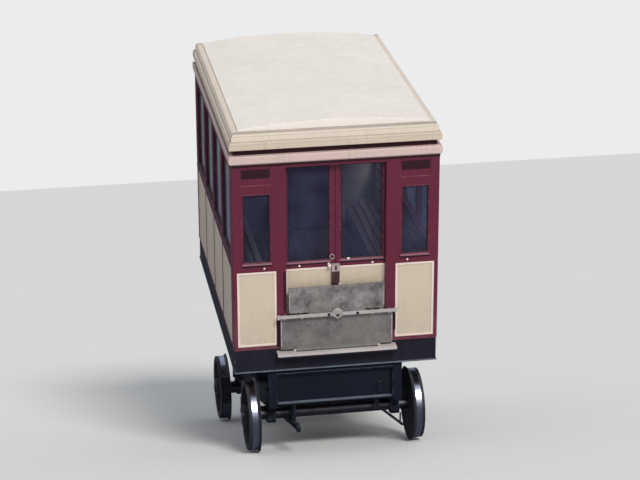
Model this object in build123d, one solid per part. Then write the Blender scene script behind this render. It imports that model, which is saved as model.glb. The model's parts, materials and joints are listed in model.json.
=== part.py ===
from build123d import *
import os
from math import atan, cos, degrees, hypot, radians, sin, sqrt, tan

# Funicular car for an inclined cliff railway, in millimetres.
# The passenger body stands level on a wedge-shaped steel truck that follows the incline.
# X points right seen from the uphill end, Y is level and points downhill, Z is up.
# The origin lies midway between the four places where the wheels touch the rails.

# Incline and track
RUN_PER_RISE = 2.83           # level distance for each unit of fall
GAUGE = 1727.0                # between the rail heads
RAIL_HEAD_HALF = 30.0         # from the rail's gauge face to the middle of its head

# Wheels and axles
WHEEL_RADIUS = 380.0
TYRE_WIDTH = 125.0
FLANGE_WIDTH = 28.0
FLANGE_HEIGHT = 28.0
RIM_DEPTH = 58.0
WEB_THICK = 44.0              # disc between hub and rim, flush with the wheel's inner face
HUB_RADIUS = 112.0
HUB_PROUD = 18.0              # hub beyond the rim's outer face
AXLE_RADIUS = 60.0
BEARING_GAP = 0.4
AXLE_END = 18.0               # axle end beyond the hub

# Body
BODY_HALF = 1095.0
BODY_LENGTH = 3340.0
OVERHANG_UPHILL = 248.0       # level, from the axle to the body's uphill end
OVERHANG_DOWNHILL = 377.0
WALL = 60.0
WALL_HEIGHT = 2087.0
CORNER_ROUND = 18.0

# Heights above the body's base
PANEL_LOW = 42.0
PANEL_HIGH = 890.0
WAIST_HIGH = 995.0
SIDE_WINDOW_HIGH = 1990.0
NARROW_WINDOW_HIGH = 1745.0
SIGN_LOW = 1855.0
SIGN_HIGH = 2035.0
PANEL_SET_BACK = 8.0
SIGN_DEPTH = 8.0
GLASS = 6.0
GLASS_SET_BACK = 26.0
REBATE = 14.0                 # width of the step round a window
REBATE_DEPTH = 8.0

# Side walls
SIDE_BAYS = 4
SIDE_STILE = 90.0
SIDE_PILLAR = 90.0

# End walls
DOORWAY_HALF = 530.0
DOORWAY_HIGH = 2035.0
PANEL_FROM_DOORWAY = 105.0
PANEL_FROM_SIDE = 45.0
NARROW_FROM_DOORWAY = 170.0
NARROW_FROM_SIDE = 120.0
SIGN_FROM_DOORWAY = 150.0
SIGN_FROM_SIDE = 95.0

# Sliding doors
DOOR_THICK = 40.0
DOOR_GAP = 5.0                # between a leaf and the wall it slides behind
DOOR_MEETING_GAP = 6.0
DOOR_OVERLAP = 45.0           # past the doorway's side
DOOR_LAP_ABOVE = 15.0
DOOR_STILE = 60.0
DOOR_OUTER_STILE = 75.0
DOOR_WINDOW_LOW = 955.0
DOOR_TOP_RAIL = 40.0
DOOR_PANEL_LOW = 130.0
DOOR_PANEL_HIGH = 876.0
DOOR_PANEL_STILE = 33.0       # meeting stile beside the lower panel
DOOR_PANEL_OUTER_STILE = 40.0
DOOR_RUNNER = 10.0            # height of the bottom track
DOOR_RUNNER_WIDTH = 16.0
RUNNING_GAP = 0.4
LOCK_HALF = 42.0
LOCK_LOW = 695.0
LOCK_HIGH = 835.0
LOCK_DEPTH = 45.0
LOCK_CORNER = 16.0            # cut off the lower corners of the case
LOCK_CAP = 78.0               # pale upper part of the case
LOCK_CAP_LAP = 2.0
KNOB_FROM_LOCK = 25.0
KNOB_HEIGHT = 905.0
KNOB_RADIUS = 16.0
KNOB_SIDES = 8
KNOB_LENGTH = 54.0

# Floor, sole frame, seats
DECK = 35.0
SOLE_DEPTH = 265.0
SOLE_WIDTH = 100.0
SOLE_INSET = 8.0
SOLE_LIP = 14.0
BEARERS = 3
BEARER_WIDTH = 100.0
BENCH_DEPTH = 430.0
BENCH_HEIGHT = 440.0
BENCH_FROM_END = 250.0        # from the inner face of the end wall
BENCH_NOSE = 30.0             # seat beyond the boxed front
BENCH_BOARD = 20.0
BENCH_SLATS = 5
BENCH_SLAT_WIDTH = 66.0
BENCH_CLAMP = 60.0            # cross boards at the seat's ends
BENCH_BACK_GAP = 60.0
BENCH_BACK_HEIGHT = 330.0
BENCH_BACK_SLATS = 3
BENCH_POSTS = 3
BENCH_POST_WIDTH = 50.0
BENCH_POST_FROM_END = 100.0
RAIL_RADIUS = 15.0
RAIL_FROM_WALL = 415.0
RAIL_DROP = 150.0
RAIL_HANGERS = 2
RAIL_HANGER_FROM_END = 60.0
RAIL_HANGER_WIDTH = 36.0
RAIL_HANGER_THICK = 10.0

# Roof, each moulding by rows of set-back, height and bulge up to there: 0 straight, 1 round, -1 hollow
CORNICE_PROUD = 20.0
CORNICE_WIDTH = 75.0
CORNICE_PROFILE = ((18, 0, 0), (6, 12, -1), (6, 17, 0), (0, 17, 0), (0, 84, 0), (12, 96, 1))
FRIEZE_INSET = 30.0
FRIEZE_HEIGHT = 62.0
FRIEZE_WIDTH = 60.0
FASCIA_PROUD = 15.0
FASCIA_WIDTH = 170.0
FASCIA_PROFILE = ((10, 0, 0), (0, 10, 1), (0, 60, 0), (5, 60, 0), (5, 67, 0), (28, 90, 1))
STEP_SET_BACK = 30.0
STEP_WIDTH = 140.0
STEP_PROFILE = ((0, 0, 0), (0, 50, 0), (8, 50, 0), (8, 60, 0), (28, 80, 1))
SHEET_INSET = 90.0
SHEET_EDGE = 18.0
SHEET_RISE = 70.0
CEILING = 20.0
CEILING_BEARING = 5.0

# Gangway flap and its sill, heights above the body's base
LEAF = 30.0
LEAF_OFF_WALL = 8.0
LOWER_PAST_DOORWAY = 70.0
LOWER_BOTTOM = -2.0
LOWER_TOP = 372.0
UPPER_IN_DOORWAY = 20.0
UPPER_HEIGHT = 284.0
AXIS_ABOVE_LEAF = 19.0        # upper hinge axis above the lower leaf
LEAF_ABOVE_AXIS = 20.0
HINGE_OUT = 14.0              # both hinge axes beyond the leaves' outer faces
HINGE_DROP = 6.0              # lower hinge axis below the body's base
PIN_RADIUS = 7.0
PIN_GAP = 0.4
TUBE_RADIUS = 12.0            # hinge tube on each leaf
TUBE_GAP = 1.0                # between a tube's end and its lug
LOWER_TUBE_HALF = 440.0
UPPER_TUBE_HALF = 300.0
STRAP = 36.0                  # width of a tube's seat on its leaf
LUG_LENGTH = 24.0
LUG_HALF = 9.0                # lug's reach round the pin, less than from the axis to the leaf
LUGS_FROM_END = (30.0, 210.0) # the lower leaf's further lugs for the bar
BAR_PAST_LEAF = 40.0
BAR_HEIGHT = 34.0
BAR_THICK = 14.0
BAR_CLEAR = 6.0               # between the upper tube and the bar
BAR_END = 30.0
BAR_END_LAP = 5.0             # bar's end blocks past its faces
CATCH_X = (-45.0, 75.0)
CATCH_HEIGHT = 40.0
CATCH_THICK = 12.0
LEDGE_PAST_LEAF = 40.0
LEDGE_DROP = 26.0             # ledge's top below the body's base
LEDGE_THICK = 70.0
LEDGE_REACH = 100.0
LEDGE_CHAMFER = 22.0

# Wedge truck
FRAME_INSIDE_TREAD = 213.5
FRAME_WEB = 12.0
FRAME_FLANGE = 90.0
FLANGE_THICK = 14.0
TRUSS_END_DEPTH = 457.0       # upright, at the truck's uphill end
CHORD_DEPTH = 200.0
TOP_CHORD_DEPTH = 100.0
POST_DEPTH = 110.0
BRACE_DEPTH = 90.0
BRACED_BAYS = (1, 2)
GUSSET = 55.0                 # corner filling of each opening
CHORD_END_MARGIN = 40.0       # truck stops short of the body's ends
POST_SHARES = (0.0, 1 / 3, 2 / 3, 1.0)    # inner posts, as shares of the axle spacing
GIRDER_PLATE = 14.0
GIRDER_FLANGE = 110.0
GIRDER_DEPTH = 260.0
UPHILL_GIRDER_DROP = 53.0     # below the sole frame
UPHILL_GIRDER_DEPTH = 370.0
GIRDER_CLIP_X = 485.0
GIRDER_CLIP = (36.0, 30.0, 115.0)         # width, reach and height of the clip on the uphill girder
GIRDER_CLIP_RISE = 66.0       # above the lower flange

# Axleboxes, brakes and haul bar
BOX_WIDTH = 90.0
BOX_LENGTH = 190.0
BOX_BELOW = 95.0              # below the axle's middle
BOX_ABOVE = 80.0
SHOE_GAP = 6.0
SHOE_THICK = 42.0
SHOE_ANGLE = 44.0
SHOE_WIDTH = 84.0
BRAKE_BEAM = 56.0
BEAM_LAP = 4.0                # brake beam into its blocks
HANGER_WIDTH = 20.0
LEVER_X = (460.0, 760.0)
LEVER_DROP = (110.0, 380.0)   # of its two ends below the uphill girder
LEVER_WIDTH = 40.0
LEVER_THICK = 16.0
LEVER_UPRIGHT = 120.0
LEVER_UPRIGHT_SHARE = 0.88
HAUL_X = -450.0
HAUL_BELOW_AXLE = 115.0
HAUL_DEPTH = 60.0
HAUL_THICK = 36.0
HAUL_HANGER = 80.0
HAUL_EYE_RADIUS = 52.0
HAUL_PIN_RADIUS = 20.0
HAUL_EYE_REACH = 231.0        # level, beyond the body's uphill end

# Worked out
SLOPE = atan(1 / RUN_PER_RISE)
TREAD_X = GAUGE / 2 + RAIL_HEAD_HALF
FLANGE_FACE = TREAD_X - TYRE_WIDTH / 2
FRAME_X = TREAD_X - FRAME_INSIDE_TREAD
WHEELBASE = (BODY_LENGTH - OVERHANG_UPHILL - OVERHANG_DOWNHILL) / cos(SLOPE)
AXLES = {"uphill": -WHEELBASE / 2, "downhill": WHEELBASE / 2}
CHORD_LOW = WHEEL_RADIUS + BOX_ABOVE      # lower chord above the rails, square to them
HAUL_HEIGHT = WHEEL_RADIUS - HAUL_BELOW_AXLE
RIGHT_ANGLE = 90.0
QUARTER_SAGITTA = (sqrt(2) - 1) / 2       # of a quarter arc, as a share of its chord


def on_incline(s, h):
    """The level Y and Z of a place s along the rails and h square above them."""
    return s * cos(SLOPE) + h * sin(SLOPE), h * cos(SLOPE) - s * sin(SLOPE)


def height_at(y, h):
    """The Z at a level place y of a line h square above the rails."""
    return (h - y * sin(SLOPE)) / cos(SLOPE)


BODY_UPHILL = on_incline(AXLES["uphill"], WHEEL_RADIUS)[0] - OVERHANG_UPHILL
BODY_DOWNHILL = BODY_UPHILL + BODY_LENGTH
BODY_MID = BODY_UPHILL + BODY_LENGTH / 2
TRUCK_ENDS = (BODY_UPHILL + CHORD_END_MARGIN, BODY_DOWNHILL - CHORD_END_MARGIN)
SOLE_BOTTOM = height_at(TRUCK_ENDS[0], CHORD_LOW) + TRUSS_END_DEPTH
BODY_BASE = SOLE_BOTTOM + SOLE_DEPTH
WALL_TOP = BODY_BASE + WALL_HEIGHT
INNER_HALF = BODY_HALF - WALL
INNER_UPHILL = BODY_UPHILL + WALL
INNER_DOWNHILL = BODY_DOWNHILL - WALL
DOOR_OUT = INNER_UPHILL + DOOR_GAP
DOOR_IN = DOOR_OUT + DOOR_THICK
DOOR_BOTTOM = DECK + DOOR_RUNNER + RUNNING_GAP
DOOR_TOP = DOORWAY_HIGH + DOOR_LAP_ABOVE
LOWER_HALF = DOORWAY_HALF + LOWER_PAST_DOORWAY
UPPER_HALF = DOORWAY_HALF - UPPER_IN_DOORWAY
LOWER_AXIS = BODY_BASE - HINGE_DROP
UPPER_AXIS = BODY_BASE + LOWER_TOP + AXIS_ABOVE_LEAF
UPPER_BOTTOM = LOWER_TOP + AXIS_ABOVE_LEAF + LEAF_ABOVE_AXIS
LEAF_OUT = BODY_UPHILL - LEAF_OFF_WALL - LEAF
HINGE_Y = LEAF_OUT - HINGE_OUT


def block(x, y, z):
    """A block between the low and high value of each axis."""
    size = [high - low for low, high in (x, y, z)]
    return Pos(*[(low + high) / 2 for low, high in (x, y, z)]) * Box(*size)


def around(middle, width):
    """The low and high value of a width centred on a place."""
    return middle - width / 2, middle + width / 2


def wider(span, by):
    """A low and high value moved apart."""
    return span[0] - by, span[1] + by


def rod_x(radius, x, y, z):
    """A round bar along X."""
    low, high = x
    return Pos((low + high) / 2, y, z) * Rot(0, 90, 0) * Cylinder(radius, high - low)


def rails_frame(part):
    """Turn a part drawn along the rails, with Z square to them, to the incline."""
    return Rot(-degrees(SLOPE), 0, 0) * part


def both_sides(part):
    """A part and its mirror image across the middle of the car."""
    return [part, mirror(part, about=Plane.YZ)]


def other_end(part):
    """The same part at the downhill end."""
    return mirror(part, about=Plane(origin=(0, BODY_MID, 0), z_dir=(0, 1, 0)))


def save(name, shapes):
    """Write the solids of one node."""
    if not isinstance(shapes, (list, tuple)):
        shapes = [shapes]
    solids = [solid for shape in shapes for solid in shape.solids()]
    shape = solids[0] if len(solids) == 1 else Compound(children=solids)
    export_step(shape, f"parts/{name}.step")


def ring(outer_half, uphill, downhill, width, low, high):
    """A rectangular ring round the car, open in the middle."""
    outside = block((-outer_half, outer_half), (uphill, downhill), (low, high))
    inside = block((width - outer_half, outer_half - width), (uphill + width, downhill - width), (low, high))
    return outside - inside


# Wheelsets

def wheel():
    """The right wheel about the X axis: disc, rim with its flange, and hub on the outer side."""
    inner = FLANGE_FACE
    outer = inner + TYRE_WIDTH
    web = inner + WEB_THICK
    hub = outer + HUB_PROUD
    rim_radius = WHEEL_RADIUS - RIM_DEPTH
    outline = Polyline(
        (inner, AXLE_RADIUS), (inner, WHEEL_RADIUS + FLANGE_HEIGHT), (inner + FLANGE_WIDTH, WHEEL_RADIUS),
        (outer, WHEEL_RADIUS), (outer, rim_radius), (web, rim_radius), (web, HUB_RADIUS), (hub, HUB_RADIUS),
        (hub, AXLE_RADIUS), close=True,
    )
    return revolve(make_face(outline), Axis.X)


def axle():
    """The axle about the X axis, through both hubs and both axleboxes."""
    end = FLANGE_FACE + TYRE_WIDTH + HUB_PROUD + AXLE_END
    return rod_x(AXLE_RADIUS, (-end, end), 0, 0)


def wheelsets():
    for end, s in AXLES.items():
        y, z = on_incline(s, WHEEL_RADIUS)
        place = Pos(0, y, z)
        save(f"axle_{end}", place * axle())
        save(f"wheels_{end}", [place * one for one in both_sides(wheel())])


# Wedge truck

def post_places():
    """The level places of the posts, end posts first and last."""
    first, last = [on_incline(s, WHEEL_RADIUS)[0] for s in AXLES.values()]
    inner = [first + share * (last - first) for share in POST_SHARES]
    return [TRUCK_ENDS[0] + POST_DEPTH / 2] + inner[1:] + [TRUCK_ENDS[1] - POST_DEPTH / 2]


def side_face(points):
    """A flat face in the plane of the car's side from (y, z) corners."""
    return make_face(Plane.YZ * Polyline(*points, close=True))


def slab(face, width):
    """A side face made a plate of the given width, centred on the frame's web."""
    return Pos(FRAME_X - width / 2, 0, 0) * extrude(face, width, dir=(1, 0, 0))


def truss_openings():
    """The openings between chords, posts and braces, with their corners filled by gussets."""
    top = SOLE_BOTTOM - TOP_CHORD_DEPTH
    chord_top = CHORD_LOW + CHORD_DEPTH
    posts = post_places()
    faces = []
    for bay, (left, right) in enumerate(zip(posts, posts[1:])):
        y0, y1 = left + POST_DEPTH / 2, right - POST_DEPTH / 2
        corners = [(y0, height_at(y0, chord_top)), (y1, height_at(y1, chord_top)), (y1, top), (y0, top)]
        opening = side_face(corners)
        if bay in BRACED_BAYS:
            foot = height_at(right, CHORD_LOW + CHORD_DEPTH / 2)
            head = SOLE_BOTTOM - TOP_CHORD_DEPTH / 2
            reach = hypot(right - left, foot - head)
            lift_y, lift_z = (head - foot) / reach * BRACE_DEPTH / 2, (right - left) / reach * BRACE_DEPTH / 2
            brace = [(left + lift_y, head + lift_z), (right + lift_y, foot + lift_z),
                     (right - lift_y, foot - lift_z), (left - lift_y, head - lift_z)]
            opening -= side_face(brace)
        faces += opening.faces()
    return [face.chamfer_2d(GUSSET, GUSSET, face.vertices()) for face in faces]


def side_frame():
    """The right truss: a web plate with a flange along each opening and round the outside."""
    uphill, downhill = TRUCK_ENDS
    outline = side_face([(uphill, height_at(uphill, CHORD_LOW)), (downhill, height_at(downhill, CHORD_LOW)),
                         (downhill, SOLE_BOTTOM), (uphill, SOLE_BOTTOM)])
    openings = truss_openings()
    shape = slab(outline, FRAME_WEB)
    shape += slab(outline - offset(outline, -FLANGE_THICK), FRAME_FLANGE)
    for opening in openings:
        border = offset(opening, FLANGE_THICK, kind=Kind.INTERSECTION)
        shape += slab(border, FRAME_FLANGE)
    for opening in openings:
        shape -= slab(opening, FRAME_FLANGE)
    return shape


def girder(y, low, high):
    """A cross girder between the side frames, with end plates on their flange edges."""
    half = FRAME_X - FRAME_FLANGE / 2
    shape = block((-half, half), around(y, GIRDER_PLATE), (low, high))
    for z in (low, high - GIRDER_PLATE):
        shape += block((-half, half), around(y, GIRDER_FLANGE), (z, z + GIRDER_PLATE))
    for x in (-half, half - GIRDER_PLATE):
        shape += block((x, x + GIRDER_PLATE), around(y, GIRDER_FLANGE), (low, high))
    return shape


def girder_table():
    """Level place, underside and top of each cross girder."""
    places = post_places()
    high = SOLE_BOTTOM - UPHILL_GIRDER_DROP
    rows = {"girder_uphill": (places[0], high - UPHILL_GIRDER_DEPTH, high)}
    for name, y in zip(("girder_upper", "girder_lower", "girder_axle", "girder_downhill"), places[1:]):
        low = height_at(y, CHORD_LOW + CHORD_DEPTH / 2)
        rows[name] = (y, low, low + GIRDER_DEPTH)
    return rows


def girder_clip():
    """The upright clip on the face of the uphill girder."""
    y, low, high = girder_table()["girder_uphill"]
    width, reach, height = GIRDER_CLIP
    face = y - GIRDER_PLATE / 2
    foot = low + GIRDER_CLIP_RISE
    return block(around(GIRDER_CLIP_X, width), (face - reach, face), (foot, foot + height))


def axlebox(s):
    """One axlebox under the lower chord, bored for its journal."""
    box = block(around(FRAME_X, BOX_WIDTH), around(s, BOX_LENGTH), (WHEEL_RADIUS - BOX_BELOW, CHORD_LOW))
    box = chamfer(box.edges().filter_by(Axis.X).group_by(Axis.Z)[0], BOX_BELOW / 3)
    bore = rod_x(AXLE_RADIUS + BEARING_GAP, around(FRAME_X, BOX_WIDTH), s, WHEEL_RADIUS)
    return rails_frame(box - bore)


def truck():
    for side, frame in zip(("right", "left"), both_sides(side_frame())):
        save(f"side_frame_{side}", frame)
    for name, (y, low, high) in girder_table().items():
        shape = girder(y, low, high)
        save(name, shape + girder_clip() if name == "girder_uphill" else shape)
    boxes = [one for s in AXLES.values() for one in both_sides(axlebox(s))]
    save("axleboxes", boxes)


def haul_bar():
    """The bar that takes the haul rope's pin, under the uphill axle, hung from two girders."""
    rows = girder_table()
    eye_y = BODY_UPHILL - HAUL_EYE_REACH
    tail_y = rows["girder_upper"][0]
    s_eye, s_tail = [(y - HAUL_HEIGHT * sin(SLOPE)) / cos(SLOPE) for y in (eye_y, tail_y)]
    x = around(HAUL_X, HAUL_THICK)
    bar = block(x, (s_eye, s_tail + HAUL_HANGER / 2), around(HAUL_HEIGHT, HAUL_DEPTH))
    bar += rod_x(HAUL_EYE_RADIUS, x, s_eye, HAUL_HEIGHT)
    bar -= rod_x(HAUL_PIN_RADIUS, x, s_eye, HAUL_HEIGHT)
    bar = rails_frame(bar)
    for name in ("girder_uphill", "girder_upper"):
        y, girder_low, _ = rows[name]
        bar += block(x, around(y, HAUL_HANGER), (height_at(y, HAUL_HEIGHT), girder_low))
    return bar


def brake_block():
    """The right brake block about the wheel's middle, on its +Y side."""
    shoe_x = (TREAD_X + TYRE_WIDTH / 2 - SHOE_WIDTH, TREAD_X + TYRE_WIDTH / 2)
    near = WHEEL_RADIUS + SHOE_GAP
    far = near + SHOE_THICK
    half = 2 * far * tan(radians(SHOE_ANGLE / 2))
    wedge = extrude(side_face([(0, 0), (2 * far, half), (2 * far, -half)]), SHOE_WIDTH, dir=(1, 0, 0))
    return (rod_x(far, shoe_x, 0, 0) - rod_x(near, shoe_x, 0, 0)) & Pos(shoe_x[0], 0, 0) * wedge


def brake_lever():
    """The slanting brake lever that hangs from the uphill girder near its right end."""
    y, low, _ = girder_table()["girder_uphill"]
    (x0, x1), (z0, z1) = LEVER_X, (low - drop for drop in LEVER_DROP)
    thick = around(y, LEVER_THICK)
    half = LEVER_WIDTH / 2
    slant = Polyline((x0 - half, z0), (x0 + half, z0), (x1 + half, z1), (x1 - half, z1), close=True)
    shape = Pos(0, thick[0], 0) * extrude(make_face(Plane.XZ * slant), LEVER_THICK, dir=(0, 1, 0))
    shape += block(around(x0, LEVER_WIDTH), thick, (z0, low))
    x = x0 + LEVER_UPRIGHT_SHARE * (x1 - x0)
    z = z0 + LEVER_UPRIGHT_SHARE * (z1 - z0)
    return shape + block(around(x, LEVER_THICK), thick, (z, z + LEVER_UPRIGHT))


def brake_gear():
    """Brake blocks on the inner side of every wheel, on beams hung from the frames, and the lever."""
    pieces = []
    for s, inward in ((AXLES["uphill"], 1), (AXLES["downhill"], -1)):
        shoe = brake_block() if inward > 0 else mirror(brake_block(), about=Plane.XZ)
        shoe = Pos(0, s, WHEEL_RADIUS) * shoe
        back = s + inward * (WHEEL_RADIUS + SHOE_GAP + SHOE_THICK + BRAKE_BEAM / 2 - BEAM_LAP)
        beam_y = around(back, BRAKE_BEAM)
        reach = TREAD_X + TYRE_WIDTH / 2
        bar = block((-reach, reach), beam_y, around(WHEEL_RADIUS, BRAKE_BEAM))
        hanger_x = FRAME_X - FRAME_FLANGE / 2
        hanger = block((hanger_x, hanger_x + HANGER_WIDTH), beam_y, (WHEEL_RADIUS, CHORD_LOW))
        for one in both_sides(shoe) + both_sides(hanger):
            bar += one
        pieces.append(rails_frame(bar))
    return pieces + [brake_lever()]


# Body

def side_bays():
    """The level start and end of each side bay."""
    width = INNER_DOWNHILL - INNER_UPHILL - 2 * SIDE_STILE - (SIDE_BAYS - 1) * SIDE_PILLAR
    width /= SIDE_BAYS
    starts = [INNER_UPHILL + SIDE_STILE + i * (width + SIDE_PILLAR) for i in range(SIDE_BAYS)]
    return [(start, start + width) for start in starts]


def side_wall():
    """The right side wall with its panel openings and rebated window openings."""
    wall = block((INNER_HALF, BODY_HALF), (INNER_UPHILL, INNER_DOWNHILL), (BODY_BASE, WALL_TOP))
    window = (BODY_BASE + WAIST_HIGH, BODY_BASE + SIDE_WINDOW_HIGH)
    for bay in side_bays():
        wall -= block((INNER_HALF, BODY_HALF), bay, (BODY_BASE + PANEL_LOW, BODY_BASE + PANEL_HIGH))
        wall -= block((INNER_HALF, BODY_HALF), bay, window)
        wall -= block((BODY_HALF - REBATE_DEPTH, BODY_HALF), wider(bay, REBATE), wider(window, REBATE))
    return wall


def side_panels():
    x = (INNER_HALF, BODY_HALF - PANEL_SET_BACK)
    return [block(x, bay, (BODY_BASE + PANEL_LOW, BODY_BASE + PANEL_HIGH)) for bay in side_bays()]


def side_glass():
    outer = BODY_HALF - GLASS_SET_BACK
    z = (BODY_BASE + WAIST_HIGH, BODY_BASE + SIDE_WINDOW_HIGH)
    return [block((outer - GLASS, outer), bay, z) for bay in side_bays()]


PANEL_X = (DOORWAY_HALF + PANEL_FROM_DOORWAY, BODY_HALF - PANEL_FROM_SIDE)
NARROW_X = (DOORWAY_HALF + NARROW_FROM_DOORWAY, BODY_HALF - NARROW_FROM_SIDE)
SIGN_X = (DOORWAY_HALF + SIGN_FROM_DOORWAY, BODY_HALF - SIGN_FROM_SIDE)
PANEL_Z = (BODY_BASE + PANEL_LOW, BODY_BASE + PANEL_HIGH)
NARROW_Z = (BODY_BASE + WAIST_HIGH, BODY_BASE + NARROW_WINDOW_HIGH)
SIGN_Z = (BODY_BASE + SIGN_LOW, BODY_BASE + SIGN_HIGH)


def end_wall():
    """The uphill end wall: doorway, two rebated narrow windows, two lower panels, two sign recesses."""
    y = (BODY_UPHILL, INNER_UPHILL)
    wall = block((-BODY_HALF, BODY_HALF), y, (BODY_BASE, WALL_TOP))
    wall = fillet(wall.edges().filter_by(Axis.Z).group_by(Axis.Y)[0], CORNER_ROUND)
    wall -= block((-DOORWAY_HALF, DOORWAY_HALF), y, (BODY_BASE + DECK, BODY_BASE + DOORWAY_HIGH))
    cuts = (
        # across, up, depth
        (PANEL_X, PANEL_Z, WALL),
        (NARROW_X, NARROW_Z, WALL),
        (wider(NARROW_X, REBATE), wider(NARROW_Z, REBATE), REBATE_DEPTH),
        (SIGN_X, SIGN_Z, SIGN_DEPTH),
    )
    for x, z, depth in cuts:
        for cut in both_sides(block(x, (BODY_UPHILL, BODY_UPHILL + depth), z)):
            wall -= cut
    return wall


def end_panels():
    return both_sides(block(PANEL_X, (BODY_UPHILL + PANEL_SET_BACK, INNER_UPHILL), PANEL_Z))


def end_glass():
    y = BODY_UPHILL + GLASS_SET_BACK
    return both_sides(block(NARROW_X, (y, y + GLASS), NARROW_Z))


LEAF_X = (DOOR_MEETING_GAP / 2, DOORWAY_HALF + DOOR_OVERLAP)
DOOR_HOLE_X = (LEAF_X[0] + DOOR_STILE, LEAF_X[1] - DOOR_OUTER_STILE)
DOOR_WINDOW_Z = (BODY_BASE + DOOR_WINDOW_LOW, BODY_BASE + DOOR_TOP - DOOR_TOP_RAIL)


def door_leaf():
    """The right leaf of the uphill doors, with its rebated window opening and sunk lower panel."""
    leaf = block(LEAF_X, (DOOR_OUT, DOOR_IN), (BODY_BASE + DOOR_BOTTOM, BODY_BASE + DOOR_TOP))
    leaf -= block(DOOR_HOLE_X, (DOOR_OUT, DOOR_IN), DOOR_WINDOW_Z)
    face = (DOOR_OUT, DOOR_OUT + PANEL_SET_BACK)
    leaf -= block(wider(DOOR_HOLE_X, REBATE), face, wider(DOOR_WINDOW_Z, REBATE))
    panel_x = (LEAF_X[0] + DOOR_PANEL_STILE, LEAF_X[1] - DOOR_PANEL_OUTER_STILE)
    leaf -= block(panel_x, face, (BODY_BASE + DOOR_PANEL_LOW, BODY_BASE + DOOR_PANEL_HIGH))
    return leaf


def door_pane():
    return block(DOOR_HOLE_X, around((DOOR_OUT + DOOR_IN) / 2, GLASS), DOOR_WINDOW_Z)


def door_lock():
    """The lock case on the right leaf; it laps over the other leaf without touching it."""
    front = DOOR_OUT - LOCK_DEPTH
    back = DOOR_OUT - DOOR_GAP
    low, high = BODY_BASE + LOCK_LOW, BODY_BASE + LOCK_HIGH
    cap_half = LOCK_HALF + LOCK_CAP_LAP
    case = block((DOOR_MEETING_GAP / 2, LOCK_HALF), (front, DOOR_OUT), (low, high))
    case += block((-LOCK_HALF, LOCK_HALF), (front, back), (low, high))
    outline = Pos(0, (low + high) / 2 + LOCK_CORNER) * Rectangle(2 * LOCK_HALF, high - low + 2 * LOCK_CORNER)
    outline = chamfer(outline.vertices(), LOCK_CORNER)
    case &= extrude(Plane.XZ.offset(-DOOR_OUT) * outline, LOCK_DEPTH)
    case += block((-cap_half, cap_half), (front - LOCK_CAP_LAP, back), (high, high + LOCK_CAP))
    return case


def door_knob():
    """The eight-sided knob on the left leaf."""
    place = Plane.XZ.offset(-DOOR_OUT) * Pos(-LOCK_HALF - KNOB_FROM_LOCK, BODY_BASE + KNOB_HEIGHT)
    return extrude(place * RegularPolygon(KNOB_RADIUS, KNOB_SIDES), KNOB_LENGTH)


def door_gear():
    """Top track and bottom runner of the uphill doors."""
    x = (-INNER_HALF, INNER_HALF)
    track = block(x, (DOOR_OUT, DOOR_IN), (BODY_BASE + DOOR_TOP + DOOR_GAP, WALL_TOP))
    runner = block(x, around((DOOR_OUT + DOOR_IN) / 2, DOOR_RUNNER_WIDTH),
                   (BODY_BASE + DECK, BODY_BASE + DECK + DOOR_RUNNER))
    return [track, runner]


# Gangway flap

def hinge_tube(half, axis_z):
    """A hinge tube bored for its pin, with its seat on the leaf above it."""
    x = (-half, half)
    tube = rod_x(TUBE_RADIUS, x, HINGE_Y, axis_z)
    tube += block(x, (HINGE_Y, LEAF_OUT), (axis_z, axis_z + STRAP))
    return tube - rod_x(PIN_RADIUS + PIN_GAP, x, HINGE_Y, axis_z)


def hinge_pin(half, axis_z, foot, back):
    """The pin of a tube of this half length, between two lugs that stand on foot and reach back."""
    end = half + TUBE_GAP
    pin = rod_x(PIN_RADIUS, (-end, end), HINGE_Y, axis_z)
    for x in ((-end - LUG_LENGTH, -end), (end, end + LUG_LENGTH)):
        pin += block(x, (HINGE_Y - LUG_HALF, back), (foot, axis_z + LUG_HALF))
    return pin


def catch(low, high):
    """Half of the middle catch, on a leaf's outer face."""
    return block(CATCH_X, (LEAF_OUT - CATCH_THICK, LEAF_OUT), (BODY_BASE + low, BODY_BASE + high))


def cross_bar():
    """The flat bar in front of the upper hinge, on four lugs of the lower leaf."""
    back = HINGE_Y - TUBE_RADIUS - BAR_CLEAR
    half = LOWER_HALF + BAR_PAST_LEAF
    y, z = (back - BAR_THICK, back), around(UPPER_AXIS, BAR_HEIGHT)
    bar = block((-half, half), y, z)
    for x in ((-half, BAR_END - half), (half - BAR_END, half)):
        bar += block(x, wider(y, BAR_END_LAP), wider(z, BAR_END_LAP))
    for from_end in LUGS_FROM_END:
        start = LOWER_HALF - from_end - LUG_LENGTH
        lug = block((start, start + LUG_LENGTH), (back, LEAF_OUT),
                    (UPPER_AXIS - STRAP, UPPER_AXIS + TUBE_RADIUS))
        for one in both_sides(lug):
            bar += one
    return bar


def flap_lower():
    """The lower flap leaf of the uphill end, with its hinge tube, the upper hinge's pin and the bar."""
    leaf = block((-LOWER_HALF, LOWER_HALF), (LEAF_OUT, LEAF_OUT + LEAF),
                 (BODY_BASE + LOWER_BOTTOM, BODY_BASE + LOWER_TOP))
    leaf += hinge_tube(LOWER_TUBE_HALF, LOWER_AXIS)
    leaf += hinge_pin(UPPER_TUBE_HALF, UPPER_AXIS, UPPER_AXIS - STRAP, LEAF_OUT)
    return leaf + cross_bar() + catch(LOWER_TOP - CATCH_HEIGHT, LOWER_TOP)


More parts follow.
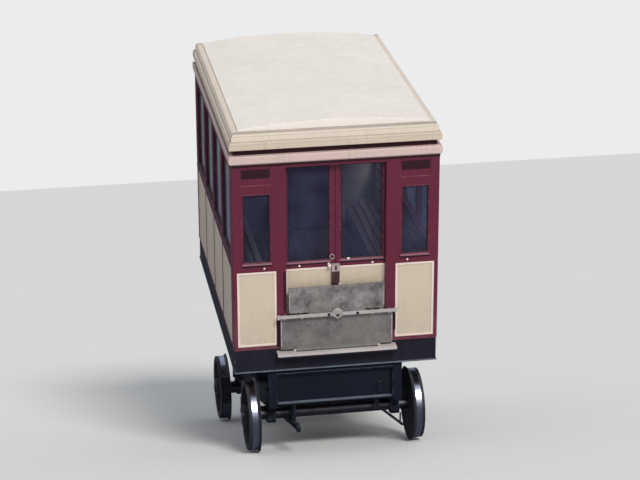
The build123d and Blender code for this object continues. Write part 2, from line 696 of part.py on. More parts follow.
def flap_upper():
    """The upper flap leaf of the uphill end, with its hinge tube."""
    leaf = block((-UPPER_HALF, UPPER_HALF), (LEAF_OUT, LEAF_OUT + LEAF),
                 (BODY_BASE + UPPER_BOTTOM, BODY_BASE + UPPER_BOTTOM + UPPER_HEIGHT))
    leaf += hinge_tube(UPPER_TUBE_HALF, UPPER_AXIS)
    return leaf + catch(UPPER_BOTTOM, UPPER_BOTTOM + CATCH_HEIGHT)


def sill_ledge():
    """The pale ledge under the uphill doorway, with the lower flap's hinge pin between its lugs."""
    half = LOWER_HALF + LEDGE_PAST_LEAF
    top = BODY_BASE - LEDGE_DROP
    ledge = block((-half, half), (BODY_UPHILL - LEDGE_REACH, BODY_UPHILL + SOLE_INSET),
                  (top - LEDGE_THICK, top))
    front = ledge.edges().filter_by(Axis.X).group_by(Axis.Y)[0]
    ledge = chamfer(front.group_by(Axis.Z)[0], LEDGE_CHAMFER)
    return ledge + hinge_pin(LOWER_TUBE_HALF, LOWER_AXIS, top, HINGE_Y + LUG_HALF)


# Floor, seats and rails

def sole_frame():
    """The dark frame under the body: four outer beams, a lower lip and cross bearers."""
    half = BODY_HALF - SOLE_INSET
    uphill, downhill = BODY_UPHILL + SOLE_INSET, BODY_DOWNHILL - SOLE_INSET
    frame = ring(half, uphill, downhill, SOLE_WIDTH, SOLE_BOTTOM, BODY_BASE)
    frame += ring(BODY_HALF, BODY_UPHILL, BODY_DOWNHILL, SOLE_WIDTH, SOLE_BOTTOM, SOLE_BOTTOM + SOLE_LIP)
    step = (downhill - uphill - SOLE_WIDTH) / (BEARERS + 1)
    for i in range(BEARERS):
        y = uphill + SOLE_WIDTH / 2 + (i + 1) * step
        frame += block((-half, half), around(y, BEARER_WIDTH), (SOLE_BOTTOM, BODY_BASE))
    return frame


BENCH_Y = (INNER_UPHILL + BENCH_FROM_END, INNER_DOWNHILL - BENCH_FROM_END)


def spaced(first, last, count):
    """Evenly spaced places from first to last."""
    return [first + i * (last - first) / (count - 1) for i in range(count)]


def bench():
    """The right bench: boxed front, slatted seat and slatted back against the wall."""
    floor = BODY_BASE + DECK
    seat = floor + BENCH_HEIGHT
    under = seat - BENCH_BOARD
    nose = INNER_HALF - BENCH_DEPTH
    front = nose + BENCH_NOSE
    shape = block((front, front + BENCH_BOARD), BENCH_Y, (floor, under))
    for end in (BENCH_Y[0], BENCH_Y[1] - BENCH_BOARD):
        shape += block((front, INNER_HALF), (end, end + BENCH_BOARD), (floor, under))
    for end in (BENCH_Y[0], BENCH_Y[1] - BENCH_CLAMP):
        shape += block((nose, INNER_HALF), (end, end + BENCH_CLAMP), (under, seat))
    for x in spaced(nose, INNER_HALF - BENCH_SLAT_WIDTH, BENCH_SLATS):
        shape += block((x, x + BENCH_SLAT_WIDTH), BENCH_Y, (under, seat))
    back = (seat + BENCH_BACK_GAP, seat + BENCH_BACK_GAP + BENCH_BACK_HEIGHT)
    post_x = (INNER_HALF - BENCH_BOARD, INNER_HALF)
    slat_x = (INNER_HALF - 2 * BENCH_BOARD, INNER_HALF - BENCH_BOARD)
    for z in spaced(back[0], back[1] - BENCH_SLAT_WIDTH, BENCH_BACK_SLATS):
        shape += block(slat_x, BENCH_Y, (z, z + BENCH_SLAT_WIDTH))
    for y in spaced(BENCH_Y[0] + BENCH_POST_FROM_END, BENCH_Y[1] - BENCH_POST_FROM_END, BENCH_POSTS):
        shape += block(post_x, around(y, BENCH_POST_WIDTH), (under, back[1]))
    return shape


def grab_rail():
    """The right ceiling rail and its flat hangers."""
    x = INNER_HALF - RAIL_FROM_WALL
    z = WALL_TOP - RAIL_DROP
    length = BENCH_Y[1] - BENCH_Y[0]
    shape = Pos(x, BODY_MID, z) * Rot(RIGHT_ANGLE, 0, 0) * Cylinder(RAIL_RADIUS, length)
    for y in spaced(BENCH_Y[0] + RAIL_HANGER_FROM_END, BENCH_Y[1] - RAIL_HANGER_FROM_END, RAIL_HANGERS):
        shape += block(around(x, RAIL_HANGER_THICK), around(y, RAIL_HANGER_WIDTH), (z, WALL_TOP))
    return shape


# Roof

def moulding_outline(half, profile):
    """A section symmetrical about Z: its right side runs up the profile, set back from the half width."""
    right = []
    for (back0, z0, _), (back1, z1, bulge) in zip(profile, profile[1:]):
        x0, x1 = half - back0, half - back1
        if bulge:
            sag = bulge * QUARTER_SAGITTA
            mid = ((x0 + x1) / 2 + sag * (z1 - z0), (z0 + z1) / 2 - sag * (x1 - x0))
            right.append(ThreePointArc((x0, z0), mid, (x1, z1)))
        else:
            right.append(Line((x0, z0), (x1, z1)))
    low, high = profile[0], profile[-1]
    closing = Polyline((half - high[0], high[1]), (0, high[1]), (0, low[1]), (half - low[0], low[1]))
    side = make_face(right + [closing])
    return side + mirror(side, about=Plane.YZ)


def moulded_ring(proud, width, low, profile):
    """A mitred moulding round the car at height low, proud of the walls, open in the middle."""
    half_x = BODY_HALF + proud
    half_y = BODY_LENGTH / 2 + proud
    along = extrude(Plane.XZ * moulding_outline(half_x, profile), half_y, both=True)
    across = Rot(0, 0, RIGHT_ANGLE) * extrude(Plane.XZ * moulding_outline(half_y, profile), half_x, both=True)
    inside = block((width - half_x, half_x - width), (width - half_y, half_y - width), (0, profile[-1][1]))
    return Pos(0, BODY_MID, low) * ((along & across) - inside)


def roof_sheet(low):
    """The crowned roof sheet."""
    half = BODY_HALF - SHEET_INSET
    edge = low + SHEET_EDGE
    section = make_face([
        Polyline((-half, edge), (-half, low), (half, low), (half, edge)),
        ThreePointArc((half, edge), (0, edge + SHEET_RISE), (-half, edge)),
    ])
    sheet = extrude(Plane.XZ * section, BODY_LENGTH / 2 - SHEET_INSET, both=True)
    return Pos(0, BODY_MID, 0) * sheet


def roof():
    """Cornice, recessed frieze, fascia with its step, crowned sheet and ceiling."""
    half = INNER_HALF + CEILING_BEARING
    ends = (INNER_UPHILL - CEILING_BEARING, INNER_DOWNHILL + CEILING_BEARING)
    save("ceiling", block((-half, half), ends, (WALL_TOP, WALL_TOP + CEILING)))
    save("cornice", moulded_ring(CORNICE_PROUD, CORNICE_WIDTH, WALL_TOP, CORNICE_PROFILE))
    low = WALL_TOP + CORNICE_PROFILE[-1][1]
    inset = FRIEZE_INSET
    save("frieze", ring(BODY_HALF - inset, BODY_UPHILL + inset, BODY_DOWNHILL - inset, FRIEZE_WIDTH,
                        low, low + FRIEZE_HEIGHT))
    low += FRIEZE_HEIGHT
    fascia = moulded_ring(FASCIA_PROUD, FASCIA_WIDTH, low, FASCIA_PROFILE)
    low += FASCIA_PROFILE[-1][1]
    fascia += moulded_ring(FASCIA_PROUD - STEP_SET_BACK, STEP_WIDTH, low, STEP_PROFILE)
    save("roof_moulding", fascia)
    save("roof_sheet", roof_sheet(low + STEP_PROFILE[-1][1]))


def body():
    for name, maker in (("side_wall", side_wall), ("side_panels", side_panels), ("side_glass", side_glass),
                        ("bench", bench)):
        right = maker()
        shapes = right if isinstance(right, list) else [right]
        save(f"{name}_right", shapes)
        save(f"{name}_left", [mirror(shape, about=Plane.YZ) for shape in shapes])
    for name, maker in (("end_wall", end_wall), ("end_panels", end_panels), ("end_glass", end_glass),
                        ("door_gear", door_gear), ("sill_ledge", sill_ledge), ("flap_lower", flap_lower),
                        ("flap_upper", flap_upper)):
        uphill = maker()
        shapes = uphill if isinstance(uphill, list) else [uphill]
        save(f"{name}_uphill", shapes)
        save(f"{name}_downhill", [other_end(shape) for shape in shapes])
    right, left = both_sides(door_leaf())
    doors = {"door_right": right, "door_left": left, "door_knob": door_knob(), "door_lock": door_lock()}
    for name, pane in zip(("door_glass_right", "door_glass_left"), both_sides(door_pane())):
        doors[name] = pane
    for name, shape in doors.items():
        save(f"{name}_uphill", shape)
        save(f"{name}_downhill", other_end(shape))
    save("sole_frame", sole_frame())
    save("floor_deck", block((-INNER_HALF, INNER_HALF), (INNER_UPHILL, INNER_DOWNHILL),
                             (BODY_BASE, BODY_BASE + DECK)))
    save("grab_rails", both_sides(grab_rail()))


os.makedirs("parts", exist_ok=True)
wheelsets()
truck()
save("haul_bar", haul_bar())
save("brake_gear", brake_gear())
body()
roof()
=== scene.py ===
"""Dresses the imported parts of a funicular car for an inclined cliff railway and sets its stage."""

import json
import math
from contextlib import contextmanager

import bpy
from mathutils import Matrix, Vector


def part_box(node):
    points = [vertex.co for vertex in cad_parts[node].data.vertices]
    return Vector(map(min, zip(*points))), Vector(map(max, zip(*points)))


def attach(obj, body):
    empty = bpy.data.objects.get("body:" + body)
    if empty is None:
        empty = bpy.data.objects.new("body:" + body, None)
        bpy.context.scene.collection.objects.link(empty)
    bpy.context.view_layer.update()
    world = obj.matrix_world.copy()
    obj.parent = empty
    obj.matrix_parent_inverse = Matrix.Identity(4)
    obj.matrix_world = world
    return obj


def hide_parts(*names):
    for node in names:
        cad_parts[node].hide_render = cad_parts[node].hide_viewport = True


bl_info = {
    "name": "Funicular Car",
    "version": (1, 0, 0),
    "blender": (4, 5, 0),
    "location": "3D View > Sidebar > Funicular Car",
    "description": "Dresses the packed parts of a cliff railway car and sets its stage",
    "category": "Object",
}

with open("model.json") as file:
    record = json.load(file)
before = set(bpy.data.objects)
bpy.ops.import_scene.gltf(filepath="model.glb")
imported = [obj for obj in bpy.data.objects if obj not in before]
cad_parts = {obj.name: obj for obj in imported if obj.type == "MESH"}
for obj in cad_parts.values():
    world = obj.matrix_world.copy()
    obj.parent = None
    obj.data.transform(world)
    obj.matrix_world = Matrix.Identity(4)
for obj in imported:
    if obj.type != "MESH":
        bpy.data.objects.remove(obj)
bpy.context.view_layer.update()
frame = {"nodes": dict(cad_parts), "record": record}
NODES = frame["nodes"]
RECORD = frame["record"]
BODY_OF = {node: body for body, members in RECORD["behaviour"]["bodies"].items() for node in members}
SLOT_OF = {row["node"]: row["material_slot"] for row in RECORD["subparts"]}

ENDS = (("uphill", -1), ("downhill", 1))
SIDES = (("right", 1), ("left", -1))
# Each wall's kind and name, the axis that it faces along and the way that it faces
WALLS = [("side", side, 0, sign) for side, sign in SIDES] + [("end", end, 1, sign) for end, sign in ENDS]
SLOPE = math.atan(1 / 2.83)
WALL_LOW, WALL_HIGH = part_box("side_wall_right")
END_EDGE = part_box("end_wall_uphill")[1].x
BASE = WALL_LOW.z

# Modelling: how near doubles are, where a turned fitting starts behind its face, and what counts as
# flat, as a sharp edge and as a smooth one
MERGE, SUNK = 0.00001, -0.001
FLAT, SHARP, SMOOTH = (math.radians(angle) for angle in (0.5, 30, 38))

# Beads: how far they stand round glass, and how far their back and front lie behind a wall's face
BEAD_LAP, BEAD_BACK, BEAD_FRONT = 0.013, 0.0075, 0.0005

# Below, places are X and the height above the sill
# End walls: pale studs, plates in the sign recesses in the shadow maroon, and dark strips beside the doorway
# and the flaps
WAIST_STUDS = ((-0.76, 0.928), (0.76, 0.928))
SIGN_ACROSS, SIGN_UP = (0.692, END_EDGE - 0.107), (BASE + 1.932, BASE + 2.024)
DARK_STRIPS = (((-0.562, -0.531), (BASE + 0.432, BASE + 0.876)), ((-0.640, -0.604), (BASE + 0.020, BASE + 0.352)),
         ((0.604, 0.640), (BASE + 0.130, BASE + 0.352)))

# Doors: a leaf's recess, its cream panel's margins and height, and the small fittings
DOOR_BACK, PANEL_MARGINS, PANEL_UP = 0.008, (0.033, 0.040), (BASE + 0.130, BASE + 0.876)
DOOR_STUDS = {"right": (0.40, 0.895), "left": (-0.38, 0.905)}
LOCK_SCREWS = [(x, z) for x in (-0.029, 0.029) for z in (0.725, 0.820)]
LOCK_SLOTS = ((0.006, (BASE + 0.735, BASE + 0.805)), (0.010, (BASE + 0.846, BASE + 0.900)))
LOCK_CAP = 0.0785
RING_PULL = (-0.034, 1.013)

# Flaps: each leaf's half width, rivets in a row and height of its edge strips, and what is on the bar
LEAVES = (("lower", 0.600, 13, (BASE + 0.040, BASE + 0.350)),
          ("upper", 0.510, 11, (BASE + 0.450, BASE + 0.678)))
LEAF_FACE = 0.038
CATCH_PLATE, CATCH_HOLE = (0.000, 0.401), (0.002, 0.378)
BAR_HOLES = ((-0.092, 0.391), (0.215, 0.388))
# The sill ledge is painted dark below this height, as painted shade and dirt
LEDGE_SHADE_TOP = BASE - 0.058

# Underframe: height of a bottom lip
LIP = 0.016

# Running gear: middle of a tread, half its polished band, and where the treads begin
TREAD_MIDDLE, POLISHED, TREAD_RADIUS = 0.8935, 0.030, 0.374
# From the middle to an axle along the rails, the outer face of the axleboxes, and the ring of hub bolts
HALF_WHEELBASE, BOX_FACE, HUB_RING = 1.4397573, 0.7250, 0.086


# Settings

def colour(name, description, *shade):
    """A colour setting from display values of 0 to 255, which become linear."""
    return bpy.props.FloatVectorProperty(
        name=name, description=description, subtype="COLOR", size=3, min=0, max=1,
        default=tuple(((value / 255 + 0.055) / 1.055) ** 2.4 for value in shade))


def length(name, description, value):
    return bpy.props.FloatProperty(
        name=name, description=description, subtype="DISTANCE", unit="LENGTH", min=0, default=value)


class CarColours(bpy.types.PropertyGroup):
    """Colours of the car's paints, metals and woods"""
    maroon: colour("Maroon", "Walls, door frames and beads", 101, 32, 55)
    # Painted shade: a darkened maroon that paints the shade on the frieze, under the cornice and the sills
    # and in the sign recesses
    shadow: colour("Shadow maroon", "Frieze, sign plates and the mouldings under the sills", 52, 24, 34)
    # Faded maroon is the colour of rubbed maroon edges and also the painted highlight of the window sills
    faded_and_lit: colour("Faded maroon", "Window sills and rubbed maroon edges", 146, 100, 114)
    cream: colour("Cream", "Lower panels of walls and doors", 205, 190, 170)
    pale: colour("Pale bead", "Beads round the cream panels", 232, 212, 202)
    cornice: colour("Cornice", "Cornice board", 209, 184, 179)
    fascia: colour("Fascia", "Roof mouldings", 206, 190, 173)
    # Painted light: a lighter copy of the fascia colour for the upper band and the upward faces of the roof
    # moulding
    moulding: colour("Upper moulding", "Upright face of the upper roof moulding", 224, 210, 195)
    # Painted shade: a darker copy of the fascia colour for the upward ledges beside the ends of the roof
    # sheet
    groove: colour("Groove", "Weathered ledges of the roof mouldings", 176, 164, 155)
    roof: colour("Roof", "Roof sheet", 241, 234, 227)
    sole: colour("Sole", "Sole frame under the body", 31, 30, 41)
    truck: colour("Truck", "Side frames, girders and boxes", 23, 27, 39)
    # Rubbed iron is the worn edge of the sole and truck, and also the tint of the painted sheen on their lips
    rubbed: colour("Rubbed iron", "Worn edges of sole and truck", 98, 106, 120)
    wheel: colour("Wheel", "Cast wheel body", 42, 42, 48)
    steel: colour("Steel", "Turned and polished steel", 160, 162, 174)
    lower_flap: colour("Lower flap", "Grey of the lower flap leaf", 106, 102, 103)
    upper_flap: colour("Upper flap", "Grey of the upper flap leaf", 121, 117, 118)
    worn: colour("Worn metal", "Metal that shows under worn paint", 160, 153, 153)
    bar: colour("Flap bar", "Bar, hinges and catch of the flaps", 174, 167, 167)
    axle: colour("Axle", "Oily turned steel", 88, 86, 92)
    lichen: colour("Stain", "Greenish stains on the flaps", 120, 122, 114)
    ledge: colour("Ledge", "Sill ledge", 190, 182, 182)
    lock: colour("Lock", "Door lock case", 72, 44, 42)
    cap: colour("Lock cap", "Upper part of the lock case", 168, 148, 150)
    white: colour("White", "Knobs, caps and studs", 232, 226, 226)
    brass: colour("Brass", "Grab rails", 186, 148, 84)
    wood: colour("Wood", "Varnished boards", 148, 98, 58)
    wood_dark: colour("Dark grain", "Dark lines in the varnished boards", 86, 52, 30)
    # Rubber also paints the shade inside the lock slots and the holes of the catch and bar
    rubber: colour("Rubber", "Seals of the glass", 26, 25, 28)
    glass: colour("Glass tint", "Tint of the window glass", 196, 206, 220)
    sheen: colour("Glass sheen", "Colour of the reflections on the glass", 224, 224, 255)
    # Partly painted reflection: the blue tint of this film gives the panes a navy tone, besides standing for
    # a film of dust
    haze: colour("Glass haze", "Thin film of dust on the glass", 138, 144, 186)
    daylight: colour("Daylight", "Daylight that the glass lets in", 222, 226, 236)
    dust: colour("Dust", "Dust on ledges and near the ground", 128, 122, 118)
    soot: colour("Grime", "Dark streaks below joints", 46, 40, 40)


class CarSizes(bpy.types.PropertyGroup):
    """Sizes of the fine details"""
    wall_edge: length("Wall edge", "Rounding of wall and door edges", 0.0025)
    panel_edge: length("Panel edge", "Rounding of the cream panels", 0.004)
    frame_edge: length("Frame edge", "Rounding of steel sections", 0.002)
    bead: length("Bead", "Width of the beads round the windows", 0.012)
    panel_bead: length("Panel bead", "Width of the pale beads round the panels", 0.024)
    sill: length("Sill", "Height of the window sills", 0.018)
    seal: length("Seal", "Width of the rubber round the glass", 0.009)
    rivet: length("Rivet", "Radius of a rivet head", 0.009)
    bolt: length("Bolt", "Radius of a bolt head", 0.012)
    stud: length("Stud", "Radius of a pale waist stud", 0.012)


def colours():
    return bpy.context.scene.car_colours


def sizes():
    return bpy.context.scene.car_sizes


# Modelling

def clear():
    bpy.ops.object.select_all(action="DESELECT")


def take(piece):
    """Make a piece the only one selected, and active."""
    clear()
    piece.select_set(True)
    bpy.context.view_layer.objects.active = piece


@contextmanager
def editing(piece):
    """Edit mode on one piece, with all of it selected."""
    take(piece)
    bpy.ops.object.mode_set(mode="EDIT")
    bpy.ops.mesh.select_all(action="SELECT")
    yield
    bpy.ops.object.mode_set(mode="OBJECT")


def cut(axis, value):
    """Part the faces of the piece in edit mode where an axis has a value."""
    across = Vector([float(i == axis) for i in range(3)])
    bpy.ops.mesh.select_all(action="SELECT")
    bpy.ops.mesh.bisect(plane_co=across * value, plane_no=across)


def apply_place(piece):
    take(piece)
    bpy.ops.object.transform_apply(location=True, rotation=True, scale=True)


def recalculate(piece):
    """Merge doubles and point every face outwards."""
    with editing(piece):
        bpy.ops.mesh.remove_doubles(threshold=MERGE)
        bpy.ops.mesh.normals_make_consistent(inside=False)


def soften(piece, width, segments=2):
    """Round the sharp edges, note the rounded faces in the edge attribute and shade smooth."""
    take(piece)
    mesh = piece.data
    mesh.materials.clear()
    mesh.materials.append(None)
    mesh.materials.append(None)
    if width:
        bevel = piece.modifiers.new("Rounded edges", "BEVEL")
        bevel.width = width
        bevel.segments = segments
        bevel.limit_method = "ANGLE"
        bevel.angle_limit = SHARP
        bevel.material = 1
        bpy.ops.object.modifier_apply(modifier=bevel.name)
    marks = [float(face.material_index == 1) for face in mesh.polygons]
    edge = mesh.attributes.new("edge", "FLOAT", "FACE")
    edge.data.foreach_set("value", marks)
    mesh.polygons.foreach_set("material_index", [0] * len(mesh.polygons))
    mesh.materials.clear()
    bpy.ops.object.shade_smooth_by_angle(angle=SMOOTH)
    normals = piece.modifiers.new("Even shading", "WEIGHTED_NORMAL")
    normals.keep_sharp = True
    bpy.ops.object.modifier_apply(modifier=normals.name)


def box_of(name, facing, across, up, out):
    """A plain box from its spans across, up and outwards on a face along X or Y."""
    sides = (out, across, up) if facing == 0 else (across, out, up)
    low, high = Vector([min(side) for side in sides]), Vector([max(side) for side in sides])
    clear()
    bpy.ops.mesh.primitive_cube_add(size=1, location=(low + high) / 2)
    piece = bpy.context.object
    piece.name = name
    piece.scale = high - low
    apply_place(piece)
    return piece


def block(name, facing, across, up, out, rounding, segments=2):
    """A box with rounded edges."""
    piece = box_of(name, facing, across, up, out)
    soften(piece, rounding, segments)
    return piece


def bead(name, facing, across, up, out, width, grow=0.0):
    """A rounded bead round an opening, which may grow, made by inset and bridge."""
    piece = box_of(name, facing, (across[0] - grow, across[1] + grow), (up[0] - grow, up[1] + grow), out)
    with editing(piece):
        bpy.ops.mesh.select_mode(type="FACE")
        bpy.ops.mesh.select_all(action="DESELECT")
    for face in piece.data.polygons:
        face.select = abs(face.normal[facing]) > 0.9
    bpy.ops.object.mode_set(mode="EDIT")
    bpy.ops.mesh.inset(thickness=width, depth=0)
    bpy.ops.mesh.bridge_edge_loops()
    bpy.ops.object.mode_set(mode="OBJECT")
    recalculate(piece)
    soften(piece, min(width, abs(out[1] - out[0])) * 0.4, 3)
    return piece


def turned(name, rows, vertices=24, rounding=0.0008):
    """A round piece about Z from rows of radius and height, closed at both ends."""
    clear()
    radius, height = rows[0]
    bpy.ops.mesh.primitive_circle_add(
        vertices=vertices, radius=radius, fill_type="NGON", location=(0, 0, height))
    piece = bpy.context.object
    piece.name = name
    apply_place(piece)
    with editing(piece):
        for next_radius, next_height in rows[1:]:
            bpy.ops.mesh.extrude_region_move(
                TRANSFORM_OT_translate={"value": (0, 0, next_height - height)})
            share = next_radius / radius
            bpy.ops.transform.resize(value=(share, share, 1), center_override=(0, 0, next_height))
            radius, height = next_radius, next_height
    recalculate(piece)
    soften(piece, rounding, 1)
    return piece


def joined(name, parts):
    """Several pieces as one, under one name."""
    clear()
    for part in parts:
        part.select_set(True)
    bpy.context.view_layer.objects.active = parts[0]
    if len(parts) > 1:
        bpy.ops.object.join()
    parts[0].name = name
    return parts[0]


def copies(model, places):
    """Copies of a model that points along Z, one for each place and the way it faces."""
    made = []
    for place, facing in places:
        one = model.copy()
        one.data = model.data.copy()
        turn = Vector(facing).to_track_quat("Z", "Y").to_matrix().to_4x4()
        one.data.transform(Matrix.Translation(Vector(place)) @ turn)
        bpy.context.scene.collection.objects.link(one)
        made.append(one)
    bpy.data.objects.remove(model)
    return made


def on_end(sign, face, places, base=BASE):
    """Places of X and height above a base, on an upright face that looks uphill or downhill."""
    return [((x, face, base + z), (0, sign, 0)) for x, z in places]


def rivet(radius):
    """A low domed rivet head."""
    return turned("rivet", ((radius, SUNK), (radius * 0.96, radius * 0.25), (radius * 0.72, radius * 0.5),
                            (radius * 0.3, radius * 0.62)), 10, 0)


def button(radius):
    """A flat round head that clears a wall close in front of it."""
    return turned("button", ((radius, SUNK), (radius * 0.97, 0.0012), (radius * 0.8, 0.0028),
                             (radius * 0.3, 0.0034)), 16, 0)


def bolt(radius):
    """A hexagonal head on a round washer."""
    washer = turned("washer", ((radius * 1.35, SUNK), (radius * 1.3, radius * 0.22)), 16, 0.0004)
    head = turned("head", ((radius, radius * 0.2), (radius, radius * 0.75),
                           (radius * 0.82, radius * 0.9)), 6, 0)
    return joined("bolt", [washer, head])


def finish(piece, coat, slot=None, body="car", replaces=()):
    """Give a piece its material, its body and the nodes it stands for; the slot is not used."""
    if piece.data.materials:
        piece.data.materials[0] = material(coat)
    else:
        piece.data.materials.append(material(coat))
    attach(piece, body)
    if replaces:
        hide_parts(*replaces)
    return piece


def trim(name, parts, *given):
    """Several pieces finished as one, under one name."""
    finish(joined(name, parts), *given)


def dressed(source, coat, rounding, segments=2, cuts=()):
    """A cleaned and rounded copy of a CAD node that stands for it, its faces parted at cuts along an axis."""
    take(NODES[source])
    bpy.ops.object.duplicate()
    piece = bpy.context.object
    piece.name = f"{source}_dressed"
    for key in [key for key in piece.keys() if key.startswith("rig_")]:
        del piece[key]
    piece.parent = None
    with editing(piece):
        bpy.ops.mesh.remove_doubles(threshold=MERGE)
        bpy.ops.mesh.dissolve_limited(angle_limit=FLAT)
        for axis, value in cuts:
            cut(axis, value)
    soften(piece, rounding, segments)
    return finish(piece, coat, SLOT_OF[source], BODY_OF[source], [source])


def second_finish(piece, coat, test):
    """Give the faces that pass a test of middle and normal one more material."""
    piece.data.materials.append(material(coat))
    index = len(piece.data.materials) - 1
    for face in piece.data.polygons:
        if test(face.center, face.normal):
            face.material_index = index


def outer(source, sign, axis=1):
    """Where a CAD node ends along an axis, on the side that sign gives."""
    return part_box(source)[sign > 0][axis]


def spans(source, axis):
    """The low and high value along an axis of each separate block of a node."""
    values = sorted({round(vertex.co[axis], 4) for vertex in NODES[source].data.vertices})
    return list(zip(values[::2], values[1::2]))


def evenly(first, last, count):
    return [first + (last - first) * i / (count - 1) for i in range(count)]


# Shader groups

def wired(tree, made, inputs):
    """A node with its inputs linked or set."""
    for key, value in inputs.items():
        if isinstance(value, bpy.types.NodeSocket):
            tree.links.new(value, made.inputs[key])
        else:
            made.inputs[key].default_value = value
    return made


def node(tree, kind, inputs=None, **settings):
    """A new shader node with its settings and inputs."""
    made = tree.nodes.new(f"ShaderNode{kind}")
    for key, value in settings.items():
        setattr(made, key, value)
    return wired(tree, made, inputs or {})


def maths(tree, operation, value, *others):
    """Two or more values taken together, one after the other."""
    for other in others:
        value = node(tree, "Math", {0: value, 1: other}, operation=operation).outputs[0]
    return value


def ramp(tree, value, low, high, to_low=0.0, to_high=1.0):
    """A value mapped and clamped between two ends."""
    made = node(tree, "MapRange", {
        "Value": value, "From Min": low, "From Max": high, "To Min": to_low, "To Max": to_high})
    return made.outputs["Result"]


def mixed(tree, factor, first, second):
    """Two colours mixed by a mask."""
    return node(tree, "Mix", {0: factor, 6: first, 7: second}, data_type="RGBA").outputs[2]


def blended(tree, factor, first, second):
    """Two shaders mixed by a mask."""
    return node(tree, "MixShader", {0: factor, 1: first.outputs[0], 2: second.outputs[0]})


def noise(tree, place, scale, detail=4.0, roughness=0.55):
    made = node(tree, "TexNoise", {
        "Vector": place, "Scale": scale, "Detail": detail, "Roughness": roughness})
    return made.outputs["Fac"]


def raised(tree, height, strength, distance):
    """The normal of a surface with a fine relief."""
    made = node(tree, "Bump", {"Height": height, "Strength": strength, "Distance": distance})
    return made.outputs["Normal"]


def stretched(tree, scale=(1.0, 1.0, 1.0)):
    """Object coordinates, which may be scaled differently along each axis."""
    place = node(tree, "TexCoord").outputs["Object"]
    return node(tree, "Mapping", {"Vector": place, "Scale": scale}).outputs["Vector"]


def edge_wear(tree, given):
    """Where paint is rubbed off the rounded edges."""
    edge = node(tree, "Attribute", attribute_name="edge").outputs["Fac"]
    patches = ramp(tree, noise(tree, stretched(tree), given["Scale"]), 0.46, 0.6)
    return {"Mask": maths(tree, "MULTIPLY", edge, patches, given["Amount"])}


def dust_mask(tree, given):
    """Dust that lies on upward faces and is thrown up from the ground."""
    source = node(tree, "TexCoord").outputs
    height = node(tree, "SeparateXYZ", {0: source["Object"]}).outputs["Z"]
    up = node(tree, "SeparateXYZ", {0: source["Normal"]}).outputs["Z"]
    level = maths(tree, "DIVIDE", maths(tree, "SUBTRACT", height, given["Ground"]), given["Reach"])
    patches = ramp(tree, noise(tree, source["Object"], 9.0, 6.0, 0.65), 0.3, 0.7)
    thrown = maths(tree, "MULTIPLY", ramp(tree, level, 1.0, 0.0), given["Thrown"])
    settled = maths(tree, "MULTIPLY", ramp(tree, up, 0.6, 0.95), given["Settled"])
    return {"Mask": maths(tree, "MULTIPLY", maths(tree, "MAXIMUM", thrown, settled), patches)}


def rain_streaks(tree, given):
    """Runs that rain has drawn down the upright faces."""
    runs = ramp(tree, noise(tree, stretched(tree, (1.0, 1.0, 0.07)), given["Fineness"], 5.0, 0.6), 0.5, 0.78)
    patches = ramp(tree, noise(tree, stretched(tree), 2.6), 0.35, 0.65)
    return {"Mask": maths(tree, "MULTIPLY", runs, patches, given["Amount"])}


def paint_film(tree, given):
    """A paint's slow change of shade and its fine brushed surface."""
    place = stretched(tree)
    slow = noise(tree, place, given["Patches"], 4.0, 0.62)
    quick = noise(tree, place, 38.0, 5.0, 0.6)
    both = maths(tree, "ADD", maths(tree, "MULTIPLY", slow, 0.65), maths(tree, "MULTIPLY", quick, 0.35))
    shade = maths(tree, "MULTIPLY", ramp(tree, both, 0.3, 0.7, -1.0, 1.0), given["Change"])
    changed = node(tree, "HueSaturation", {
        "Color": given["Colour"], "Value": maths(tree, "ADD", shade, 1.0)})
    brushed = noise(tree, stretched(tree, (1.0, 1.0, 0.35)), 260.0, 3.0)
    return {"Colour": changed.outputs["Color"],
            "Height": maths(tree, "ADD", maths(tree, "MULTIPLY", brushed, 0.5), quick)}


def wood_grain(tree, given):
    """Wood grain that runs along the car."""
    lines = noise(tree, stretched(tree, (1.0, 0.05, 1.0)), given["Fineness"], 6.0, 0.6)
    mask = ramp(tree, lines, 0.38, 0.66)
    return {"Colour": mixed(tree, mask, given["Light"], given["Dark"]), "Height": mask}


# Each group's maker and its inputs
GROUPS = {
    "Edge wear": (edge_wear, {"Scale": 24.0, "Amount": 0.5}),
    "Dust": (dust_mask, {"Ground": 1.7, "Reach": 0.6, "Thrown": 0.3, "Settled": 0.4}),
    "Rain streaks": (rain_streaks, {"Fineness": 26.0, "Amount": 0.4}),
    "Paint film": (paint_film, {"Colour": (0.5, 0.5, 0.5, 1), "Change": 0.12, "Patches": 1.7}),
    "Wood grain": (wood_grain, {"Light": (0.4, 0.2, 0.1, 1), "Dark": (0.1, 0.05, 0.02, 1), "Fineness": 60.0}),
}


def new_group(name):
    """A shader group, whose sockets hold a colour where they have four numbers or are named Colour."""
    tree = bpy.data.node_groups.new(name, "ShaderNodeTree")

    def socket(label, way, has_colour):
        kind = "NodeSocketColor" if has_colour else "NodeSocketFloat"
        return tree.interface.new_socket(name=label, in_out=way, socket_type=kind)
    maker, inputs = GROUPS[name]
    for label, value in inputs.items():
        socket(label, "INPUT", isinstance(value, tuple)).default_value = value
    outputs = maker(tree, tree.nodes.new("NodeGroupInput").outputs)
    for label in outputs:
        socket(label, "OUTPUT", label == "Colour")
    wired(tree, tree.nodes.new("NodeGroupOutput"), outputs)
    return tree


def shared(tree, name, inputs):
    """One of the shared groups placed in a material with its own values."""
    group = bpy.data.node_groups.get(name) or new_group(name)
    return node(tree, "Group", inputs, node_tree=group).outputs


# Materials

def rgba(name):
    return (*getattr(colours(), name), 1.0)


def surface(tree, shader):
    """Show a shader on the material or the world that the tree belongs to."""
    end = tree.nodes.get("Material Output") or tree.nodes["World Output"]
    tree.links.new(shader.outputs[0], end.inputs["Surface"])


